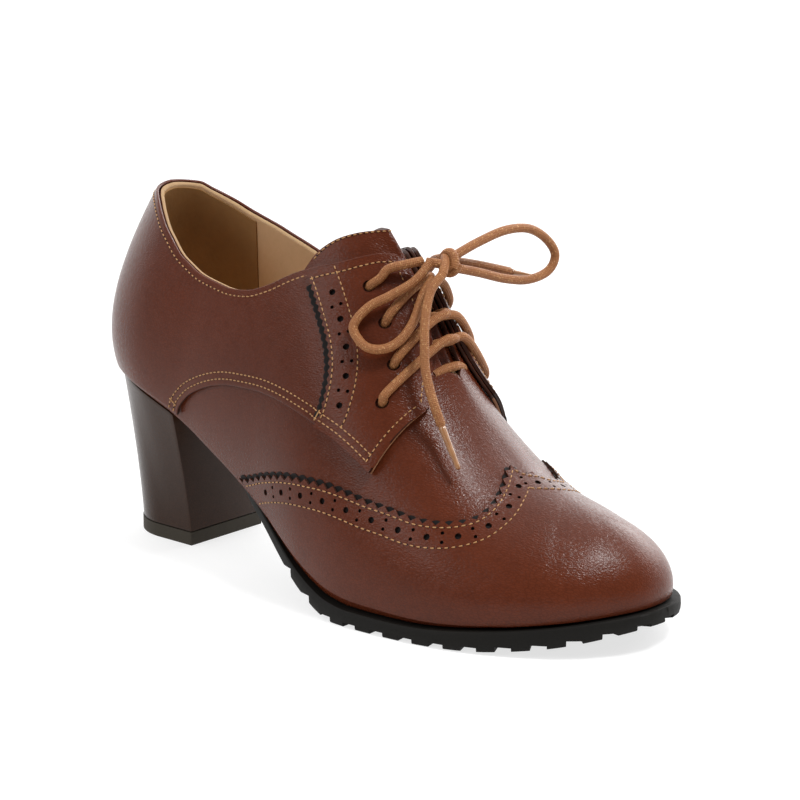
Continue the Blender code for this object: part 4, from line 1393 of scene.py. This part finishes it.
foot_plan = heel_foot(len(seat), HEEL_HALF, HEEL_BACK, BREAST - 2 * MM)
heel_rings = []
for part in np.linspace(0, 1, 33):
    plan = seat_plan * (1 - part) ** HEEL_TAPER + foot_plan * (1 - (1 - part) ** HEEL_TAPER)
    top = sole_height(plan[:, 0]) - GAP
    heel_rings.append(np.column_stack([plan, top * (1 - part) + (LIFT_THICK + GAP) * part]))
put(ring_stack("heel_block", heel_rings, HEEL_SKIN), "heel_cover", "heel")
lift_plan = heel_foot(len(seat), HEEL_HALF + 0.2 * MM, HEEL_BACK - 0.2 * MM, BREAST - 1.8 * MM)
lift_rings = [np.column_stack([lift_plan, np.full(len(lift_plan), z)]) for z in (LIFT_THICK, 0.0)]
put(ring_stack("heel_top_lift_rubber", lift_rings, LIFT_RUBBER), "rubber", "heel_top_lift")

# %% [markdown]
# ## Stitches
# A row of stitches is a line on a panel. Geometry Nodes puts a small flattened bead at an even pitch on
# the line and turns it along the row. One tree serves every row, with the sizes as named inputs.

# %% Stitch tree


def stitch_tree():
    tree = bpy.data.node_groups.new("stitch_row", "GeometryNodeTree")
    face = tree.interface
    face.new_socket("Rows", in_out="INPUT", socket_type="NodeSocketGeometry")
    for name, value in (("Pitch", 2.1 * MM), ("Length", 1.5 * MM), ("Thread", 0.45 * MM)):
        face.new_socket(name, in_out="INPUT", socket_type="NodeSocketFloat").default_value = value
    face.new_socket("Finish", in_out="INPUT", socket_type="NodeSocketMaterial")
    face.new_socket("Stitches", in_out="OUTPUT", socket_type="NodeSocketGeometry")
    nodes = {key: tree.nodes.new(kind) for key, kind in {
        "in": "NodeGroupInput", "out": "NodeGroupOutput", "points": "GeometryNodeCurveToPoints",
        "bead": "GeometryNodeMeshUVSphere", "size": "ShaderNodeCombineXYZ",
        "place": "GeometryNodeInstanceOnPoints", "real": "GeometryNodeRealizeInstances",
        "smooth": "GeometryNodeSetShadeSmooth", "paint": "GeometryNodeSetMaterial"}.items()}
    nodes["points"].mode = "LENGTH"
    nodes["bead"].inputs["Segments"].default_value = 8
    nodes["bead"].inputs["Rings"].default_value = 6
    nodes["bead"].inputs["Radius"].default_value = 0.5
    links = [
        ("in", "Rows", "points", "Curve"), ("in", "Pitch", "points", "Length"), ("in", "Thread", "size", "X"),
        ("in", "Thread", "size", "Y"), ("in", "Length", "size", "Z"), ("points", "Points", "place", "Points"),
        ("points", "Rotation", "place", "Rotation"), ("bead", "Mesh", "place", "Instance"),
        ("size", "Vector", "place", "Scale"), ("place", "Instances", "real", "Geometry"),
        ("real", "Geometry", "smooth", "Geometry"), ("smooth", "Geometry", "paint", "Geometry"),
        ("in", "Finish", "paint", "Material"), ("paint", "Geometry", "out", "Stitches")]
    for a, a_out, b, b_in in links:
        tree.links.new(nodes[a].outputs[a_out], nodes[b].inputs[b_in])
    return tree


STITCHES = stitch_tree()


def sew(name, rows, pitch=1.9 * MM, length=1.35 * MM, thread=0.45 * MM, finish=THREAD):
    """Lay stitches along lines of points in the frame, as one plain mesh."""
    data = bpy.data.curves.new(name, "CURVE")
    data.dimensions = "3D"
    for row in rows:
        spline = data.splines.new("POLY")
        spline.points.add(len(row) - 1)
        spline.points.foreach_set("co", np.column_stack([row, np.ones(len(row))]).ravel())
    line = bpy.data.objects.new(name + "_line", data)
    show(line)
    mod = line.modifiers.new("stitches", "NODES")
    mod.node_group = STITCHES
    values = {"Pitch": pitch, "Length": length, "Thread": thread, "Finish": finish}
    for item in STITCHES.interface.items_tree:
        if item.in_out == "INPUT" and item.name in values:
            mod[item.identifier] = values[item.name]
    graph = bpy.context.evaluated_depsgraph_get()
    mesh = bpy.data.meshes.new_from_object(line.evaluated_get(graph))
    bpy.data.objects.remove(line, do_unlink=True)
    obj = bpy.data.objects.new(name, mesh)
    show(obj)
    put(obj, "lace_cord")
    return obj


print("stitch tree", len(STITCHES.nodes), "nodes")

# %% Stitch rows
ON_PANEL = PANEL_GAP + PANEL + 0.05 * MM
ON_STAY = TOP_OF_FACING + 0.05 * MM
# Distances of the rows from their panel's edge
DOUBLE_ROWS = (2.0 * MM, 4.3 * MM)
COLLAR_ROW = 2.2 * MM
STAY_ROWS = (1.6 * MM, 9.8 * MM)
STAY_HEM = 2.6 * MM
# Places where a row climbs from the quarter on to the eyestay, and the place of its bar tack
CLIMB = (4.88, 4.95)
TACK_PLACE = 4.98
# Samples of the quarter's rows at which the flap starts and the collar ends
FLAP_ROW = 66
COLLAR_ROWS = slice(1, 125)
SEAM_END = 0.972


def row_on(path, lift):
    return on_last(path[:, 0], path[:, 1], lift)


quarter_lines = []
stay_lines = []
tacks = []
for side in (-1, 1):
    rows = quarter_rows(side, 200)
    lower = along(np.column_stack([rows[:, 0], side * (1 - rows[:, 1])])[FLAP_ROW:], 1.0 * MM)
    doubles = [beside(lower, -side * off)[2:-4] for off in DOUBLE_ROWS]
    for line in doubles:
        quarter_lines.append(row_on(line, np.interp(line[:, 0], CLIMB, (ON_PANEL, ON_STAY))))
    for near in (2, int(np.argmin(np.abs(doubles[0][:, 0] - TACK_PLACE)))):
        part = np.linspace(-0.15, 1.15, 8)[:, None]
        tack = doubles[0][near] * (1 - part) + doubles[1][near] * part
        tacks.append(row_on(tack, np.interp(tack[:, 0], CLIMB, (ON_PANEL, ON_STAY))))
    top = along(np.column_stack([rows[:, 2], side * (1 - rows[:, 3])])[COLLAR_ROWS], 1.0 * MM)
    quarter_lines.append(row_on(beside(top, side * COLLAR_ROW), ON_PANEL))
    rear = along(stay_rear[side], 1.0 * MM)
    for off in STAY_ROWS:
        stay_lines.append(row_on(parallel(rear, side * off)[4:-2], ON_STAY))
    top = along(stay_grids[side][:, -1], 1.0 * MM)
    stay_lines.append(row_on(parallel(top, side * STAY_HEM)[2:-2], ON_STAY))
    front = along(stay_grids[side][-1], 1.0 * MM)
    stay_lines.append(row_on(beside(front, -side * STAY_HEM)[3:-3], ON_STAY))
ON_WING = WING_LIFT + WING_THICK + 0.05 * MM
wing_lines = []
for off in (BAND_UPPER, BAND_LOWER):
    line = parallel(wing_line, -off)
    wing_lines.append(row_on(line[np.abs(line[:, 1]) < SEAM_END], ON_WING))
hem_row = tongue_grid[-3, 4:-4] + (0, 0, 0.2 * MM)


def later(row, step):
    """The same row started a step further on."""
    run = run_of(row)
    return at_run(row, run, np.linspace(step, run[-1], len(row)))


for name, rows, pitch in (
        ("quarter", quarter_lines + [hem_row], 1.9 * MM), ("stay", stay_lines, 1.9 * MM),
        ("wing", wing_lines, 2.3 * MM)):
    sew(name + "_stitches", rows, pitch, 0.7 * pitch)
    between_rows = [later(row, pitch / 2) for row in rows]
    # Dark beads between the stitches: painted shade in the needle holes.
    sew(name + "_needle_holes", between_rows, pitch, 0.55 * MM, 0.42 * MM, UNDERLAY_AND_SHADE)
sew("bar_tacks", tacks, 0.55 * MM, 0.9 * MM, 0.5 * MM)

# %% [markdown]
# ## Floor and light
# The photograph is a soft studio picture on white. A small softbox hangs beyond the toe, a wide one stands
# on the outer side, and a third lights the far edge from behind. A wide sun stands for the ceiling. The
# world is brighter behind the shoe than in front of it, so the leather has soft highlights at its edges.

# %% Floor and light
floor_paint = Finish("pale_floor", emission_strength=0.72)
floor_paint.set("Emission Color", (1, 1, 1, 1))
floor_shade = floor_paint.mix(floor_paint.noise(3.0, 2.0), (0.30, 0.30, 0.30, 1), (0.33, 0.33, 0.33, 1))
floor_paint.set("Base Color", floor_shade)
floor_paint.set("Roughness", 0.75 + floor_paint.noise(40.0, 2.0) * 0.1)
FLOOR_HALF = 4.0
corners = [(x * FLOOR_HALF, y * FLOOR_HALF, 0) for x, y in ((-1, -1), (1, -1), (1, 1), (-1, 1))]
floor = plain_object("studio_floor", corners, [(0, 1, 2, 3)], [floor_paint.material])
RIM_TURN = -math.radians(40)


def soft_light(name, place, power, size):
    data = bpy.data.lights.new(name, "AREA")
    data.energy = power
    data.shape = "RECTANGLE"
    data.size = size[0]
    data.size_y = size[1]
    lamp = bpy.data.objects.new(name, data)
    lamp.visible_camera = False
    lamp.location = place
    lamp.rotation_euler = (Vector(place) - Vector((0, 0, 0.05))).to_track_quat("Z", "Y").to_euler()
    show(lamp)


soft_light("top_softbox", (0.58, 0.08, 1.2), 12, (0.28, 0.28))
soft_light("side_softbox", (-0.6, -1.5, 1.1), 10, (0.9, 0.9))
behind = -math.sin(AZIMUTH + RIM_TURN), math.cos(AZIMUTH + RIM_TURN)
soft_light("rim_softbox", (1.6 * behind[0], 1.6 * behind[1], 0.75), 12, (1.2, 0.8))
world = bpy.context.scene.world or bpy.data.worlds.new("studio")
bpy.context.scene.world = world
world.use_nodes = True
sky = next(n for n in world.node_tree.nodes if n.type == "BACKGROUND")
sky.inputs["Color"].default_value = (1, 1, 1, 1)
tree = world.node_tree
turn = tree.nodes.new("ShaderNodeTexCoord")
facing = tree.nodes.new("ShaderNodeVectorMath")
facing.operation = "DOT_PRODUCT"
facing.inputs[1].default_value = (math.sin(AZIMUTH), -math.cos(AZIMUTH), 0.0)
fade = tree.nodes.new("ShaderNodeMapRange")
for socket, value in (("From Min", -0.85), ("From Max", 0.25), ("To Min", 2.1), ("To Max", 0.25)):
    fade.inputs[socket].default_value = value
tree.links.new(turn.outputs["Generated"], facing.inputs[0])
tree.links.new(facing.outputs["Value"], fade.inputs["Value"])
tree.links.new(fade.outputs["Result"], sky.inputs["Strength"])
sun_data = bpy.data.lights.new("ceiling", "SUN")
sun_data.energy = 0.5
sun_data.angle = math.radians(70)
sun = bpy.data.objects.new("ceiling", sun_data)
sun.rotation_euler = Vector((0.25, 0.2, 1.0)).to_track_quat("Z", "Y").to_euler()
show(sun)
bpy.context.scene.view_settings.view_transform = "Standard"
print("lights", len(bpy.data.lights))
